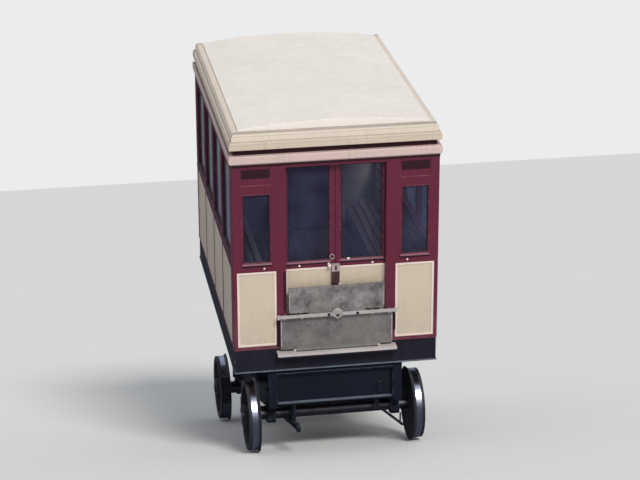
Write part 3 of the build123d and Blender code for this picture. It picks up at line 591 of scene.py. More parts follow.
def paint(tree, shader, tint, under, roughness=0.52, coat=0.0, shine=0.5, change=0.12, patches=1.7, wear=0.3,
          streaks=0.25, stained=0.0, thrown=0.0, settled=0.2, ground=1.72, bump=0.15):
    """A coat of paint that fades, wears at its edges, streaks and gathers dust."""
    film = shared(tree, "Paint film", {"Colour": rgba(tint), "Change": change, "Patches": patches})
    worn = shared(tree, "Edge wear", {"Amount": wear})["Mask"]
    runs = shared(tree, "Rain streaks", {"Amount": streaks})["Mask"]
    dust = shared(tree, "Dust", {"Ground": ground, "Thrown": thrown, "Settled": settled})["Mask"]
    stains = ramp(tree, noise(tree, stretched(tree), 3.2, 5.0, 0.6), 0.46, 0.60, 0.0, stained)
    face = film["Colour"]
    for mask, over in ((stains, "lichen"), (runs, "soot"), (worn, under), (dust, "dust")):
        face = mixed(tree, mask, face, rgba(over))
    dull = maths(tree, "MULTIPLY", maths(tree, "MAXIMUM", dust, runs), 0.4)
    wired(tree, shader, {
        "Base Color": face,
        "Roughness": maths(tree, "ADD", ramp(tree, film["Height"], 0.4, 1.1, -0.05, 0.06), dull, roughness),
        "Normal": raised(tree, film["Height"], bump, 0.001),
        "Specular IOR Level": shine, "Coat Weight": coat, "Coat Roughness": 0.12})


def metal(tree, shader, tint, roughness, fineness, dirt):
    """Bare metal with fine tool marks and dark patches of oil."""
    marks = noise(tree, stretched(tree, (0.2, 1.0, 1.0)), fineness, 4.0)
    oil = ramp(tree, noise(tree, stretched(tree), 7.0, 6.0, 0.65), 0.42, 0.7, 0.0, dirt)
    wired(tree, shader, {
        "Base Color": mixed(tree, oil, rgba(tint), rgba("soot")),
        "Roughness": maths(tree, "ADD", ramp(tree, marks, 0.3, 0.7, roughness - 0.06, roughness + 0.08),
                           maths(tree, "MULTIPLY", oil, 0.25)),
        "Normal": raised(tree, marks, 0.12, 0.0006), "Metallic": 1.0})


def varnished(tree, shader, fineness):
    """Boards under a clear varnish."""
    grain = shared(tree, "Wood grain", {
        "Light": rgba("wood"), "Dark": rgba("wood_dark"), "Fineness": fineness})
    worn = shared(tree, "Edge wear", {"Amount": 0.35})["Mask"]
    wired(tree, shader, {
        "Base Color": mixed(tree, worn, grain["Colour"], rgba("worn")),
        "Roughness": ramp(tree, grain["Height"], 0.0, 1.0, 0.32, 0.5),
        "Normal": raised(tree, grain["Height"], 0.15, 0.0006), "Coat Weight": 0.4})


def window_glass(tree, shader):
    """Tinted glass with a little dust in its gloss and a thin blue film, partly dust and partly painted
    reflection, which lets daylight into the car.
    """
    place = stretched(tree)
    smoky = ramp(tree, noise(tree, place, 1.6), 0.35, 0.75, 0.0, 0.22)
    wired(tree, shader, {
        "Base Color": mixed(tree, smoky, rgba("glass"), rgba("soot")),
        "Roughness": ramp(tree, noise(tree, place, 5.0, 6.0, 0.7), 0.45, 0.75, 0.015, 0.09),
        "Transmission Weight": 1.0, "IOR": 1.45, "Specular Tint": rgba("sheen")})
    # A thin blue diffuse film, partly dust and partly painted reflection
    haze = node(tree, "BsdfDiffuse", {"Color": rgba("haze")})
    hazed = ramp(tree, noise(tree, place, 2.2, 5.0, 0.6), 0.35, 0.65, 0.02, 0.07)
    clear_pane = node(tree, "BsdfTransparent", {"Color": rgba("daylight")})
    path = node(tree, "LightPath").outputs
    through = maths(tree, "MAXIMUM", path["Is Shadow Ray"], path["Is Diffuse Ray"])
    surface(tree, blended(tree, through, blended(tree, hazed, shader, haze), clear_pane))


def pale_floor(tree, shader):
    """The ground of the stage, which keeps its shadow, is dark in reflections and clear from below."""
    pale = mixed(tree, noise(tree, stretched(tree), 0.8), (0.86, 0.86, 0.86, 1), (0.90, 0.90, 0.90, 1))
    wired(tree, shader, {"Base Color": pale, "Roughness": 0.9, "Specular IOR Level": 0.2})
    below = node(tree, "BsdfTransparent")
    mirrored = node(tree, "BsdfDiffuse", {"Color": (0.20, 0.22, 0.29, 1)})
    glossy = node(tree, "LightPath").outputs["Is Glossy Ray"]
    back = node(tree, "NewGeometry").outputs["Backfacing"]
    surface(tree, blended(tree, back, blended(tree, glossy, shader, mirrored), below))


# What the paints of the panels and those of the flaps have in common
PANEL_COAT = dict(roughness=0.42, coat=0.15, change=0.06, streaks=0.12, bump=0.08)
FLAP_COAT = dict(roughness=0.6, wear=0.9, stained=0.4, settled=0.35, bump=0.45)

# Each paint's tint, what shows where it is worn, and where it differs from a plain coat
PAINTS = {
    "maroon_paint": ("maroon", "faded_and_lit", dict(coat=0.05, shine=0.35, wear=0.45, thrown=0.25)),
    # Painted highlight: the sills are painted in the lighter faded maroon, as if lit by the sky
    "lit_sill_paint": ("faded_and_lit", "maroon", dict(change=0.15)),
    # Painted shade: the shadow maroon paint; it also paints the dark strips beside the doorway and the flaps
    "shadow_paint": ("shadow", "maroon", dict(shine=0.2, wear=0.2, streaks=0.3, settled=0.1)),
    "cream_panel": ("cream", "wood", dict(PANEL_COAT, wear=0.1, thrown=0.3)),
    "pale_bead": ("pale", "cream", dict(PANEL_COAT, thrown=0.2)),
    "cornice_paint": ("cornice", "wood", dict(change=0.06, wear=0.15, streaks=0.35, settled=0.3)),
    "fascia_paint": ("fascia", "wood", dict(change=0.06, settled=0.15)),
    # Painted light: the lighter copy of the fascia paint
    "lit_moulding_paint": ("moulding", "wood", dict(change=0.06, wear=0.2, streaks=0.15, settled=0.1)),
    # Painted shade: the darker copy of the fascia paint
    "shaded_groove_paint": ("groove", "dust", dict(wear=0.1)),
    "roof_paint": ("roof", "dust", dict(roughness=0.58, change=0.05, wear=0.2, streaks=0.1, settled=0.12,
        bump=0.2)),
    "ceiling_board": ("fascia", "wood", dict(change=0.05, wear=0.1, streaks=0.05, settled=0.0)),
    "sole_paint": ("sole", "rubbed", dict(shine=0.12, change=0.22, wear=0.95, thrown=0.03, ground=1.45,
        bump=0.25)),
    # Painted reflection: a lighter blue-grey that stands for sky reflected on the lips
    "lip_sheen_paint": ("rubbed", "soot", dict(shine=0.2, change=0.35, patches=6.0, streaks=0.5, settled=0.1)),
    "truck_paint": ("truck", "rubbed", dict(shine=0.12, change=0.25, wear=0.75, thrown=0.1, ground=0.2,
        bump=0.3)),
    "wheel_paint": ("wheel", "rubbed", dict(shine=0.2, change=0.25, thrown=0.2, ground=0.0, bump=0.35)),
    "flap_lower_grey": ("lower_flap", "worn", dict(FLAP_COAT, change=0.6, patches=5.0, thrown=0.3)),
    "flap_upper_grey": ("upper_flap", "worn", dict(FLAP_COAT, change=0.85, patches=6.0, streaks=0.3)),
    "worn_fittings": ("bar", "steel", dict(change=0.2, patches=8.0, wear=0.45, streaks=0.45, thrown=0.1,
        bump=0.35)),
    "catch_paint": ("worn", "steel", dict(change=0.5, patches=14.0, wear=0.4, streaks=0.4)),
    "ledge_paint": ("ledge", "steel", dict(roughness=0.58, change=0.2, wear=0.4, streaks=0.4, thrown=0.1,
        ground=1.6, bump=0.35)),
    "lock_paint": ("lock", "rubbed", dict(roughness=0.4, coat=0.2, wear=0.25, settled=0.15)),
    "lock_cap": ("cap", "soot", dict(coat=0.1, change=0.18, wear=0.2, settled=0.15)),
    "white_enamel": ("white", "soot", dict(roughness=0.25, coat=0.6, change=0.04, wear=0.1, streaks=0.1,
        settled=0.1, bump=0.05)),
    # Rubber seals, and the painted shade inside slots and holes
    "rubber_and_hollow_shade": ("rubber", "soot", dict(roughness=0.7, change=0.15, wear=0.0, streaks=0.1, settled=0.3,
        bump=0.2)),
}

# Each metal's tint, roughness, fineness of its tool marks and share of oil
METALS = {"tread_steel": ("steel", 0.24, 70.0, 0.35), "axle_steel": ("axle", 0.42, 60.0, 0.8),
          "brass": ("brass", 0.3, 90.0, 0.4)}

# How fine the grain of the varnished boards is
BOARDS = {"inside_boards": 40.0, "floor_boards": 26.0, "bench_boards": 48.0}


def material(name):
    """The car's material of this name, made when it is first asked for."""
    made = bpy.data.materials.get(f"car_{name}")
    if made:
        return made
    made = bpy.data.materials.new(f"car_{name}")
    made.use_nodes = True
    tree, shader = made.node_tree, made.node_tree.nodes["Principled BSDF"]
    if name in PAINTS:
        tint, under, other = PAINTS[name]
        paint(tree, shader, tint, under, **other)
    elif name in METALS:
        metal(tree, shader, *METALS[name])
    elif name in BOARDS:
        varnished(tree, shader, BOARDS[name])
    else:
        {"window_glass": window_glass, "pale_floor": pale_floor}[name](tree, shader)
    return made


# Body

def sill(name, across, glass_bottom, face, sign, proud):
    """A window sill below the glass of an end wall or a door, painted lighter as a painted highlight, with a
    strip of painted shadow under it.
    """
    high = glass_bottom - 0.006
    low = high - sizes().sill
    wide = (across[0] - 0.020, across[1] + 0.020)
    piece = joined(name, [
        block("sill", 1, wide, up, (face, face + sign * reach), reach * 0.25, 3)
        for reach, up in ((proud, (low, high)), (proud * 0.3, (low - 0.020, low)))])
    # Painted highlight: the whole sill takes the lighter faded maroon
    piece.data.materials.append(material("lit_sill_paint"))
    # Painted shadow: the low strip under the sill is painted in the shadow maroon
    second_finish(piece, "shadow_paint", lambda middle, normal: middle.z < low - 0.001)
    return piece


def add_wall(kind, name, axis, sign):
    """A wall with its beads, waist strip and a dark strip of painted shadow under the cornice."""
    source = f"{kind}_wall_{name}"
    low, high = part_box(source)
    across = (low[1 - axis], high[1 - axis])
    face, inner = outer(source, sign, axis), outer(source, -sign, axis)
    wall = dressed(source, "maroon_paint", sizes().wall_edge)
    second_finish(wall, "inside_boards", lambda middle, normal: normal[axis] * sign < -0.9
                  and abs(middle[axis] - inner) < 0.001)
    for part, grow, width, coat in (("panels", 0.0, sizes().panel_bead, "pale_bead"),
                                    ("glass", BEAD_LAP, sizes().bead, "maroon_paint")):
        source = f"{kind}_{part}_{name}"
        part_low, part_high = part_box(source)
        beads = [bead("bead", axis, span, (part_low.z, part_high.z),
                      (face - sign * BEAD_FRONT, face - sign * BEAD_BACK), width, grow)
                 for span in spans(source, 1 - axis)]
        trim(f"{kind}_{part}_beads_{name}", beads, coat, "maroon_paint")
    if kind == "side":
        finish(block(f"waist_strip_{name}", 0, across, (BASE + 0.932, BASE + 0.956),
                     (face, face + sign * 0.008), 0.0035, 3), "maroon_paint")
    # Painted shadow: a dark strip in the shadow maroon along the top of the wall, under the cornice
    finish(block(f"cornice_shadow_strip_{name}", axis, across, (high.z - 0.026, high.z - 0.001),
                 (face, face + sign * 0.006), 0.002), "shadow_paint", "maroon_paint")


def add_end_trim(end, sign):
    """Sills, studs, sign plates and dark strips of an end wall."""
    face, glass = outer(f"end_wall_{end}", sign), f"end_glass_{end}"
    sills = [sill("sill", span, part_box(glass)[0].z, face, sign, 0.016) for span in spans(glass, 0)]
    trim(f"window_sills_{end}", sills, "lit_sill_paint", "maroon_paint")
    studs = copies(rivet(sizes().stud), on_end(sign, face, WAIST_STUDS))
    trim(f"waist_studs_{end}", studs, "pale_bead", "door_fittings")
    # Partly painted shade: the sign plates take the shadow maroon, which stands for their own dark colour and
    # for the shade in the recesses
    signs = [block("sign", 1, [hand * x for x in SIGN_ACROSS], SIGN_UP,
                   (face - sign * 0.0085, face - sign * 0.004), 0.0015) for side, hand in SIDES]
    trim(f"sign_plates_{end}", signs, "shadow_paint", "maroon_paint")
    # Thin dark strips in the shadow maroon beside the doorway and beside the lower flap
    dark_strips = [block("dark_strip", 1, across, up, (face - sign * 0.0005, face + sign * 0.003), 0.001)
             for across, up in DARK_STRIPS]
    trim(f"flap_dark_strips_{end}", dark_strips, "shadow_paint", "maroon_paint")


class CAR_OT_walls(bpy.types.Operator):
    """Add the side and end walls with the beads round their panels and windows"""
    bl_idname = "car.walls"
    bl_label = "Walls"

    def execute(self, context):
        for wall in WALLS:
            add_wall(*wall)
        for end in ENDS:
            add_end_trim(*end)
        return {"FINISHED"}


class CAR_OT_panels(bpy.types.Operator):
    """Add the cream lower panels of the side and end walls"""
    bl_idname = "car.panels"
    bl_label = "Cream Panels"

    def execute(self, context):
        for kind, name, axis, sign in WALLS:
            dressed(f"{kind}_panels_{name}", "cream_panel", sizes().panel_edge, 3)
        return {"FINISHED"}


def seal(name, source, axis, sign, across, proud):
    """The rubber round one pane of a node's glass."""
    low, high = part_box(source)
    face = outer(source, sign, axis)
    return bead(name, axis, across, (low.z, high.z), (face, face + sign * proud), sizes().seal)


class CAR_OT_glazing(bpy.types.Operator):
    """Add the window glass and the rubber seals round it"""
    bl_idname = "car.glazing"
    bl_label = "Glazing"

    def execute(self, context):
        for name, source in NODES.items():
            if "glass" in name:
                source.data.materials.clear()
                source.data.materials.append(material("window_glass"))
        for kind, name, axis, sign in WALLS:
            source = f"{kind}_glass_{name}"
            seals = [seal("seal", source, axis, sign, span, 0.009) for span in spans(source, 1 - axis)]
            trim(f"{kind}_seals_{name}", seals, "rubber_and_hollow_shade", "window_glass")
        for end, sign in ENDS:
            for side, hand in SIDES:
                leaf = f"{side}_{end}"
                low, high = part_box(f"door_glass_{leaf}")
                finish(seal(f"door_seal_{leaf}", f"door_glass_{leaf}", 1, sign, (low.x, high.x), 0.007),
                       "rubber_and_hollow_shade", "window_glass", f"door_{leaf}")
        return {"FINISHED"}


def add_leaf(end, sign, side, hand):
    """One sliding leaf with its panel, beads, sill and stud."""
    low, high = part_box(f"door_right_{end}")
    face = outer(f"door_right_{end}", sign)
    back, front = face - sign * DOOR_BACK, face - sign * BEAD_FRONT
    leaf = f"{side}_{end}"
    body = f"door_{leaf}"
    dressed(body, "maroon_paint", sizes().wall_edge)
    across = sorted((hand * (low.x + PANEL_MARGINS[0]), hand * (high.x - PANEL_MARGINS[1])))
    finish(block(f"door_panel_{leaf}", 1, across, PANEL_UP, (back, back + sign * 0.003), 0.001),
           "cream_panel", "cream_panel", body)
    finish(bead(f"door_panel_bead_{leaf}", 1, across, PANEL_UP, (back, front), sizes().panel_bead),
           "pale_bead", "cream_panel", body)
    low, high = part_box(f"door_glass_{leaf}")
    across, up = (low.x, high.x), (low.z, high.z)
    finish(bead(f"door_window_bead_{leaf}", 1, across, up, (back, front), sizes().bead, BEAD_LAP),
           "maroon_paint", "maroon_paint", body)
    finish(sill(f"door_sill_{leaf}", across, low.z, face, sign, 0.0035), "lit_sill_paint", "maroon_paint", body)
    trim(f"door_stud_{leaf}", copies(button(sizes().stud), on_end(sign, face, [DOOR_STUDS[side]])),
         "white_enamel", "door_fittings", body)


def add_door_fittings(end, sign):
    """Knob, lock, latch, ring pull and meeting seal of a pair of doors."""
    left, right = f"door_left_{end}", f"door_right_{end}"
    face = outer(right, sign)
    low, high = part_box(f"door_knob_{end}")
    middle, radius = (low + high) / 2, (high.z - low.z) / 2
    reach = sign * (outer(f"door_knob_{end}", sign) - face)
    rows = ((radius, SUNK), (radius, 0.003), (radius * 0.7, 0.006), (radius * 0.7, reach * 0.5),
            (radius * 1.05, reach * 0.62), (radius * 1.15, reach * 0.75), (radius * 1.1, reach * 0.9),
            (radius * 0.8, reach * 0.98), (radius * 0.3, reach))
    knob = copies(turned("knob", rows), on_end(sign, face, [(middle.x, middle.z)], 0))
    trim(f"knob_{end}", knob, "white_enamel", "door_fittings", left, [f"door_knob_{end}"])
    lock = dressed(f"door_lock_{end}", "lock_paint", 0.003, 3)
    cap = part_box(f"door_lock_{end}")[1].z - LOCK_CAP
    second_finish(lock, "lock_cap", lambda middle, normal: middle.z > cap)
    front = outer(f"door_lock_{end}", sign) - sign * 0.002
    trim(f"lock_screws_{end}", copies(rivet(0.005), on_end(sign, front, LOCK_SCREWS)),
         "axle_steel", "door_fittings", right)
    # Painted shade: dark blocks on the lock case stand for its slots
    slots = [block("slot", 1, (-half, half), up, (front, front + sign * 0.0035), 0.003)
             for half, up in LOCK_SLOTS]
    for slot in slots:
        recalculate(slot)
    trim(f"lock_slots_{end}", slots, "rubber_and_hollow_shade", "door_fittings", right)
    dressed(f"door_gear_{end}", "truck_paint", 0.001)
    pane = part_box(f"door_glass_right_{end}")[0]
    latch = copies(button(0.016), on_end(sign, face, [(pane.x + 0.078, pane.z - 0.002)], 0))
    trim(f"latch_button_{end}", latch, "white_enamel", "door_fittings", right)
    clear()
    x, z = RING_PULL
    bpy.ops.mesh.primitive_torus_add(
        major_radius=0.024, minor_radius=0.0045, major_segments=28, minor_segments=8,
        location=(x, face + sign * 0.009, BASE + z - 0.023), rotation=(math.pi / 2 - 0.15, 0, 0))
    ring = bpy.context.object
    apply_place(ring)
    soften(ring, 0)
    rows = ((0.008, SUNK), (0.008, 0.004), (0.004, 0.006), (0.004, 0.012), (0.006, 0.013), (0.004, 0.015))
    hold = copies(turned("hold", rows, 16), on_end(sign, face, [RING_PULL]))
    trim(f"ring_pull_{end}", [ring, *hold], "lock_cap", "door_fittings", left)
    low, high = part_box(left)
    third = (high.y - low.y) / 3
    finish(block(f"meeting_seal_{end}", 1, (high.x - 0.001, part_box(right)[0].x - 0.0006),
                 (low.z + 0.002, high.z - 0.002), (low.y + third, high.y - third), 0.0015),
           "rubber_and_hollow_shade", "maroon_paint", left)


class CAR_OT_doors(bpy.types.Operator):
    """Add the sliding doors with their panels, beads, locks, knobs and tracks"""
    bl_idname = "car.doors"
    bl_label = "Doors"

    def execute(self, context):
        for end, sign in ENDS:
            for side, hand in SIDES:
                add_leaf(end, sign, side, hand)
            add_door_fittings(end, sign)
        return {"FINISHED"}


class CAR_OT_roof(bpy.types.Operator):
    """Add the cornice, frieze, mouldings and roof sheet with its seams"""
    bl_idname = "car.roof"
    bl_label = "Roof"

    def execute(self, context):
        dressed("cornice", "cornice_paint", 0.0015)
        # Painted shade: the frieze is painted in the shadow maroon
        dressed("frieze", "shadow_paint", 0.0015)
        low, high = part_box("roof_sheet")
        fascia = dressed("roof_moulding", "fascia_paint", 0.0012, 2, [(1, low.y), (1, high.y)])
        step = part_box("roof_moulding")[0].z + 0.090
        # Painted light: the upper band and the upward faces of the moulding are painted lighter
        second_finish(fascia, "lit_moulding_paint", lambda middle, normal: middle.z > step or normal.z > 0.5)
        # Painted shade: the upward ledges of the moulding beside the ends of the roof sheet are painted
        # darker
        second_finish(fascia, "shaded_groove_paint", lambda middle, normal: normal.z > 0.5
                      and not low.y < middle.y < high.y)
        dressed("roof_sheet", "roof_paint", 0.006, 3)
        rise = high.z - low.z - 0.018
        radius = (high.x ** 2 + rise ** 2) / (2 * rise)
        seams = []
        for y in evenly(low.y, high.y, 4)[1:3]:
            half = high.x - 0.02
            seam = block("seam", 1, (-half, half), (0, 0.004), (y - 0.012, y + 0.012), 0.0015)
            with editing(seam):
                for x in evenly(0.03 - half, half - 0.03, 36):
                    cut(0, x)
            for vertex in seam.data.vertices:
                crown = high.z - radius + math.sqrt(radius ** 2 - vertex.co.x ** 2)
                vertex.co.z = min(vertex.co.z + crown - 0.0025, high.z - 0.0001)
            seams.append(seam)
        trim("roof_seams", seams, "roof_paint")
        return {"FINISHED"}


# Gangway flaps

def add_flaps(end, sign):
    """Both leaves of an end's flap, what is fixed to them, and the ledge that carries them."""
    leaf_face = outer(f"end_wall_{end}", sign) + sign * LEAF_FACE
    bar_face = outer(f"flap_lower_{end}", sign) - sign * 0.005
    low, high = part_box(f"flap_upper_{end}")
    rivet_rows = {"lower": (BASE + 0.070, BASE + 0.300), "upper": (low.z + 0.075, high.z - 0.022)}
    for leaf, half, count, heights in LEAVES:
        body, grey = f"flap_{leaf}_{end}", f"flap_{leaf}_grey"
        piece = dressed(body, grey, 0.003)
        second_finish(piece, "worn_fittings",
                      lambda middle, normal: (middle.y - bar_face) * sign > -0.015)
        places = [(x, z) for z in rivet_rows[leaf] for x in evenly(0.03 - half, half - 0.03, count)]
        rivets = copies(rivet(0.006), on_end(sign, leaf_face, places, 0))
        trim(f"flap_{leaf}_rivets_{end}", rivets, grey, grey, body)
        strips = [block("strip", 1, (x - 0.006, x + 0.006), heights,
                        (leaf_face - sign * 0.0005, leaf_face + sign * 0.002), 0.0008)
                  for x in (0.007 - half, half - 0.007)]
        trim(f"flap_{leaf}_strips_{end}", strips, "catch_paint", grey, body)
    body, grey = f"flap_lower_{end}", "flap_lower_grey"
    middle = leaf_face + sign * 0.012
    finish(block(f"catch_bolt_{end}", 1, (-0.012, 0.030), (BASE + 0.344, BASE + 0.364),
                 (middle - 0.008, middle + 0.008), 0.004, 3), "truck_paint", grey, body)
    rows = ((0.064, SUNK), (0.064, 0.003), (0.060, 0.005), (0.026, 0.005), (0.010, 0.0055))
    plate = copies(turned("plate", rows, 6, 0.0006), on_end(sign, bar_face, [CATCH_PLATE]))
    trim(f"catch_plate_{end}", plate, "catch_paint", grey, body)
    # Painted shade: dark discs stand for the holes in the catch plate and the bar
    places = on_end(sign, bar_face + sign * 0.0045, [CATCH_HOLE]) + on_end(sign, bar_face, BAR_HOLES)
    trim(f"catch_holes_{end}", copies(button(0.017), places), "rubber_and_hollow_shade", grey, body)
    ledge = dressed(f"sill_ledge_{end}", "ledge_paint", 0.004, 3, [(2, LEDGE_SHADE_TOP)])
    # Painted shade and dirt: the ledge below the cut takes the dark sole paint
    second_finish(ledge, "sole_paint", lambda middle, normal: middle.z < LEDGE_SHADE_TOP)


class CAR_OT_flaps(bpy.types.Operator):
    """Add the folding flaps of both ends with their bars, hinges, rivets and the sill ledges"""
    bl_idname = "car.flaps"
    bl_label = "Gangway Flaps"

    def execute(self, context):
        for end in ENDS:
            add_flaps(*end)
        return {"FINISHED"}


# Underframe

def on_incline(s, h):
    """The level Y and Z of a place s along the rails and h square above them."""
    return s * math.cos(SLOPE) + h * math.sin(SLOPE), h * math.cos(SLOPE) - s * math.sin(SLOPE)


def add_sole_frame():
    sole = dressed("sole_frame", "sole_paint", 0.003)
    low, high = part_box("sole_frame")
    # Painted reflection: the faces of the bottom lip at the ends and sides take the lighter lip paint
    second_finish(sole, "lip_sheen_paint", lambda middle, normal: middle.z < low.z + LIP and (
        abs(normal.z) < 0.9 and not WALL_LOW.y + 0.05 < middle.y < WALL_HIGH.y - 0.05
        or abs(normal.x) > 0.5 and abs(middle.x) > END_EDGE - 0.02))
    places = []
    for z in (low.z + 0.045, high.z - 0.045):
        for x in evenly(low.x + 0.10, high.x - 0.10, 14):
            if z < low.z + 0.1 or abs(x) > 0.66:
                places += [((x, low.y + 0.008, z), (0, -1, 0)), ((x, high.y - 0.008, z), (0, 1, 0))]
        for y in evenly(low.y + 0.10, high.y - 0.10, 20):
            places += [((low.x + 0.008, y, z), (-1, 0, 0)), ((high.x - 0.008, y, z), (1, 0, 0))]
    trim("sole_rivets", copies(rivet(sizes().rivet), places), "sole_paint")


def add_side_frame(side):
    name = f"side_frame_{side}"
    dressed(name, "truck_paint", sizes().frame_edge)
    low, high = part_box(name)
    first, last = low.y + 0.06, high.y - 0.06
    points = [on_incline(y / math.cos(SLOPE) - h * math.tan(SLOPE), h)
              for y in evenly(first, last, 24) for h in (0.505, 0.615)]
    points += [(y, high.z - 0.050) for y in evenly(first, last, 24)]
    web = (low.x + high.x) / 2
    places = [((web + one * 0.006, y, z), (one, 0, 0)) for y, z in points for one in (1, -1)]
    trim(f"frame_rivets_{side}", copies(rivet(sizes().rivet), places), "truck_paint")


def add_girder(name):
    girder = dressed(f"girder_{name}", "truck_paint", sizes().frame_edge)
    low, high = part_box(f"girder_{name}")
    # Painted reflection: the bottom lip and the top of each girder take the lighter lip paint
    second_finish(girder, "lip_sheen_paint", lambda middle, normal: abs(normal.x) < 0.5
                  and (middle.z < low.z + LIP or middle.z > high.z - 0.001))
    middle = (low.y + high.y) / 2 if name != "uphill" else high.y - 0.055
    places = [((x, middle + one * 0.007, z), (0, one, 0)) for one in (1, -1)
              for x in evenly(low.x + 0.07, high.x - 0.07, 12) for z in (low.z + 0.04, high.z - 0.04)]
    trim(f"girder_rivets_{name}", copies(rivet(0.007), places), "truck_paint")


class CAR_OT_underframe(bpy.types.Operator):
    """Add the sole frame, the side frames and the cross girders with their rivets"""
    bl_idname = "car.underframe"
    bl_label = "Underframe"

    def execute(self, context):
        add_sole_frame()
        for side, sign in SIDES:
            add_side_frame(side)
        for name in ("uphill", "upper", "lower", "axle", "downhill"):
            add_girder(name)
        return {"FINISHED"}


def add_wheelset(end):
    low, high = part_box(f"wheels_{end}")
    centre = (low + high) / 2
    bands = [hand * (TREAD_MIDDLE + half) for hand in (1, -1) for half in (-POLISHED, POLISHED)]
    wheels = dressed(f"wheels_{end}", "wheel_paint", 0.004, 3, [(0, x) for x in bands])

    def on_tread(middle, normal):
        radial = Vector((0, middle.y - centre.y, middle.z - centre.z))
        return (radial.length > TREAD_RADIUS and normal.dot(radial.normalized()) > 0.3
                and abs(abs(middle.x) - TREAD_MIDDLE) < POLISHED)
    second_finish(wheels, "tread_steel", on_tread)
    dressed(f"axle_{end}", "axle_steel", 0.003)
    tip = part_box(f"axle_{end}")[1].x - 0.018
    places = [((sign * tip, centre.y + HUB_RING * math.cos(turn),
                centre.z + HUB_RING * math.sin(turn)), (sign, 0, 0))
              for sign in (1, -1) for turn in evenly(0, math.tau, 7)[:6]]
    trim(f"hub_bolts_{end}", copies(bolt(0.009), places), "wheel_paint", "wheel_steel", f"wheelset_{end}")


class CAR_OT_running_gear(bpy.types.Operator):
    """Add the wheels, axles, axleboxes, brake gear and haul bar"""
    bl_idname = "car.running_gear"
    bl_label = "Running Gear"

    def execute(self, context):
        for end, sign in ENDS:
            add_wheelset(end)
        for name, rounding in (("axleboxes", 0.003), ("brake_gear", 0.002), ("haul_bar", 0.003)):
            dressed(name, "truck_paint", rounding)
        points = [on_incline(s + ds, h) for s in (-HALF_WHEELBASE, HALF_WHEELBASE)
                  for ds in (-0.075, 0.075) for h in (0.44, 0.34)]
        places = [((sign * BOX_FACE, y, z), (sign, 0, 0)) for sign in (1, -1) for y, z in points]
        trim("axlebox_bolts", copies(bolt(sizes().bolt), places), "truck_paint")
        return {"FINISHED"}


# Inside

class CAR_OT_inside(bpy.types.Operator):
    """Add the floor, benches, grab rails, ceiling and ceiling lamps"""
    bl_idname = "car.inside"
    bl_label = "Inside"

    def execute(self, context):
        for source, coat in (("floor_deck", "floor_boards"), ("grab_rails", "brass"),
                             ("ceiling", "ceiling_board")):
            dressed(source, coat, 0.001)
        for side, sign in SIDES:
            dressed(f"bench_{side}", "bench_boards", 0.002)
        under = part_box("ceiling")[0].z
        rows = ((0.120, SUNK), (0.120, 0.012), (0.108, 0.020), (0.100, 0.045), (0.070, 0.070), (0.020, 0.080))
        places = [((0, y, under), (0, 0, -1)) for y in (WALL_LOW.y + 0.8, WALL_HIGH.y - 0.8)]
        lamps = copies(turned("lamp", rows, 32, 0.001), places)
        trim("ceiling_lamps", lamps, "white_enamel", "ceiling_board")
        return {"FINISHED"}


# Stage

def studio_world():
    """A plain pale background, which glass and metal show dark below the level and blue above it."""
    world = bpy.data.worlds.new("studio")
    world.use_nodes = True
    tree = world.node_tree
    ambient = wired(tree, tree.nodes["Background"], {"Color": (0.94, 0.97, 1.0, 1), "Strength": 0.40})
    path = node(tree, "LightPath").outputs
    direction = node(tree, "TexCoord").outputs["Generated"]
    height = node(tree, "SeparateXYZ", {0: direction}).outputs["Z"]
    around = mixed(tree, ramp(tree, height, -0.04, 0.04), (0.17, 0.20, 0.20, 1), (0.62, 0.68, 0.80, 1))
    mirrored = mixed(tree, path["Is Glossy Ray"], (0.84, 0.84, 0.85, 1), around)
    shown = node(tree, "Background", {"Color": mirrored, "Strength": 1.0})
    seen = maths(tree, "MAXIMUM", path["Is Camera Ray"], path["Is Glossy Ray"], path["Is Transmission Ray"])
    surface(tree, blended(tree, seen, ambient, shown))
    return world


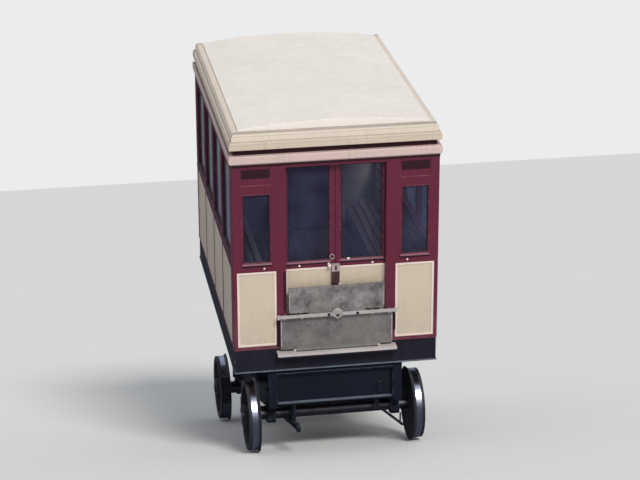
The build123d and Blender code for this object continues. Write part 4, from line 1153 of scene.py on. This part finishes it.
class CAR_OT_stage(bpy.types.Operator):
    """Add the sloping floor, the light, the background and the camera"""
    bl_idname = "car.stage"
    bl_label = "Stage"

    def execute(self, context):
        clear()
        drop = 0.0285
        bpy.ops.mesh.primitive_plane_add(
            size=400, location=(0, -drop * math.sin(SLOPE), -drop * math.cos(SLOPE)), rotation=(-SLOPE, 0, 0))
        floor = context.object
        floor.name = "floor"
        floor.data.materials.append(material("pale_floor"))
        context.scene.world = studio_world()

        clear()
        toward = Vector((0.20, -0.72, 0.90))
        bpy.ops.object.light_add(type="SUN", location=toward * 12)
        sun = context.object
        sun.name = "key_light"
        sun.rotation_euler = toward.to_track_quat("Z", "Y").to_euler()
        sun.data.energy = 2.35
        sun.data.angle = math.radians(16)
        sun.data.color = (1.0, 0.98, 0.94)

        clear()
        bpy.ops.object.camera_add(
            location=(-3.5205, -21.8367, 11.2160), rotation=(1.188832283, 0.003066517, -0.164279819))
        camera = context.object
        camera.name = "camera"
        camera.data.sensor_width, camera.data.lens = 36.0, 120.0
        camera.data.clip_start, camera.data.clip_end = 0.1, 1000.0
        context.scene.camera = camera
        context.scene.view_settings.view_transform = "Standard"
        return {"FINISHED"}


STEPS = (CAR_OT_walls, CAR_OT_panels, CAR_OT_glazing, CAR_OT_doors, CAR_OT_roof, CAR_OT_flaps,
         CAR_OT_underframe, CAR_OT_running_gear, CAR_OT_inside, CAR_OT_stage)


class CAR_PT_panel(bpy.types.Panel):
    """Lists the car's pieces, colours and sizes"""
    bl_idname = "CAR_PT_panel"
    bl_label = "Funicular Car"
    bl_space_type = "VIEW_3D"
    bl_region_type = "UI"
    bl_category = "Funicular Car"

    def draw(self, context):
        column = self.layout.column()
        for step in STEPS:
            column.operator(step.bl_idname, text=step.bl_label)
        for group in (context.scene.car_colours, context.scene.car_sizes):
            for name in group.__annotations__:
                column.prop(group, name)


CLASSES = (CarColours, CarSizes, *STEPS, CAR_PT_panel)


def register():
    for one in CLASSES:
        bpy.utils.register_class(one)
    bpy.types.Scene.car_colours = bpy.props.PointerProperty(type=CarColours)
    bpy.types.Scene.car_sizes = bpy.props.PointerProperty(type=CarSizes)


def unregister():
    del bpy.types.Scene.car_sizes
    del bpy.types.Scene.car_colours
    for one in reversed(CLASSES):
        bpy.utils.unregister_class(one)


def main():
    register()
    for step in STEPS:
        group, name = step.bl_idname.split(".")
        getattr(getattr(bpy.ops, group), name)()


if __name__ == "__main__":
    main()
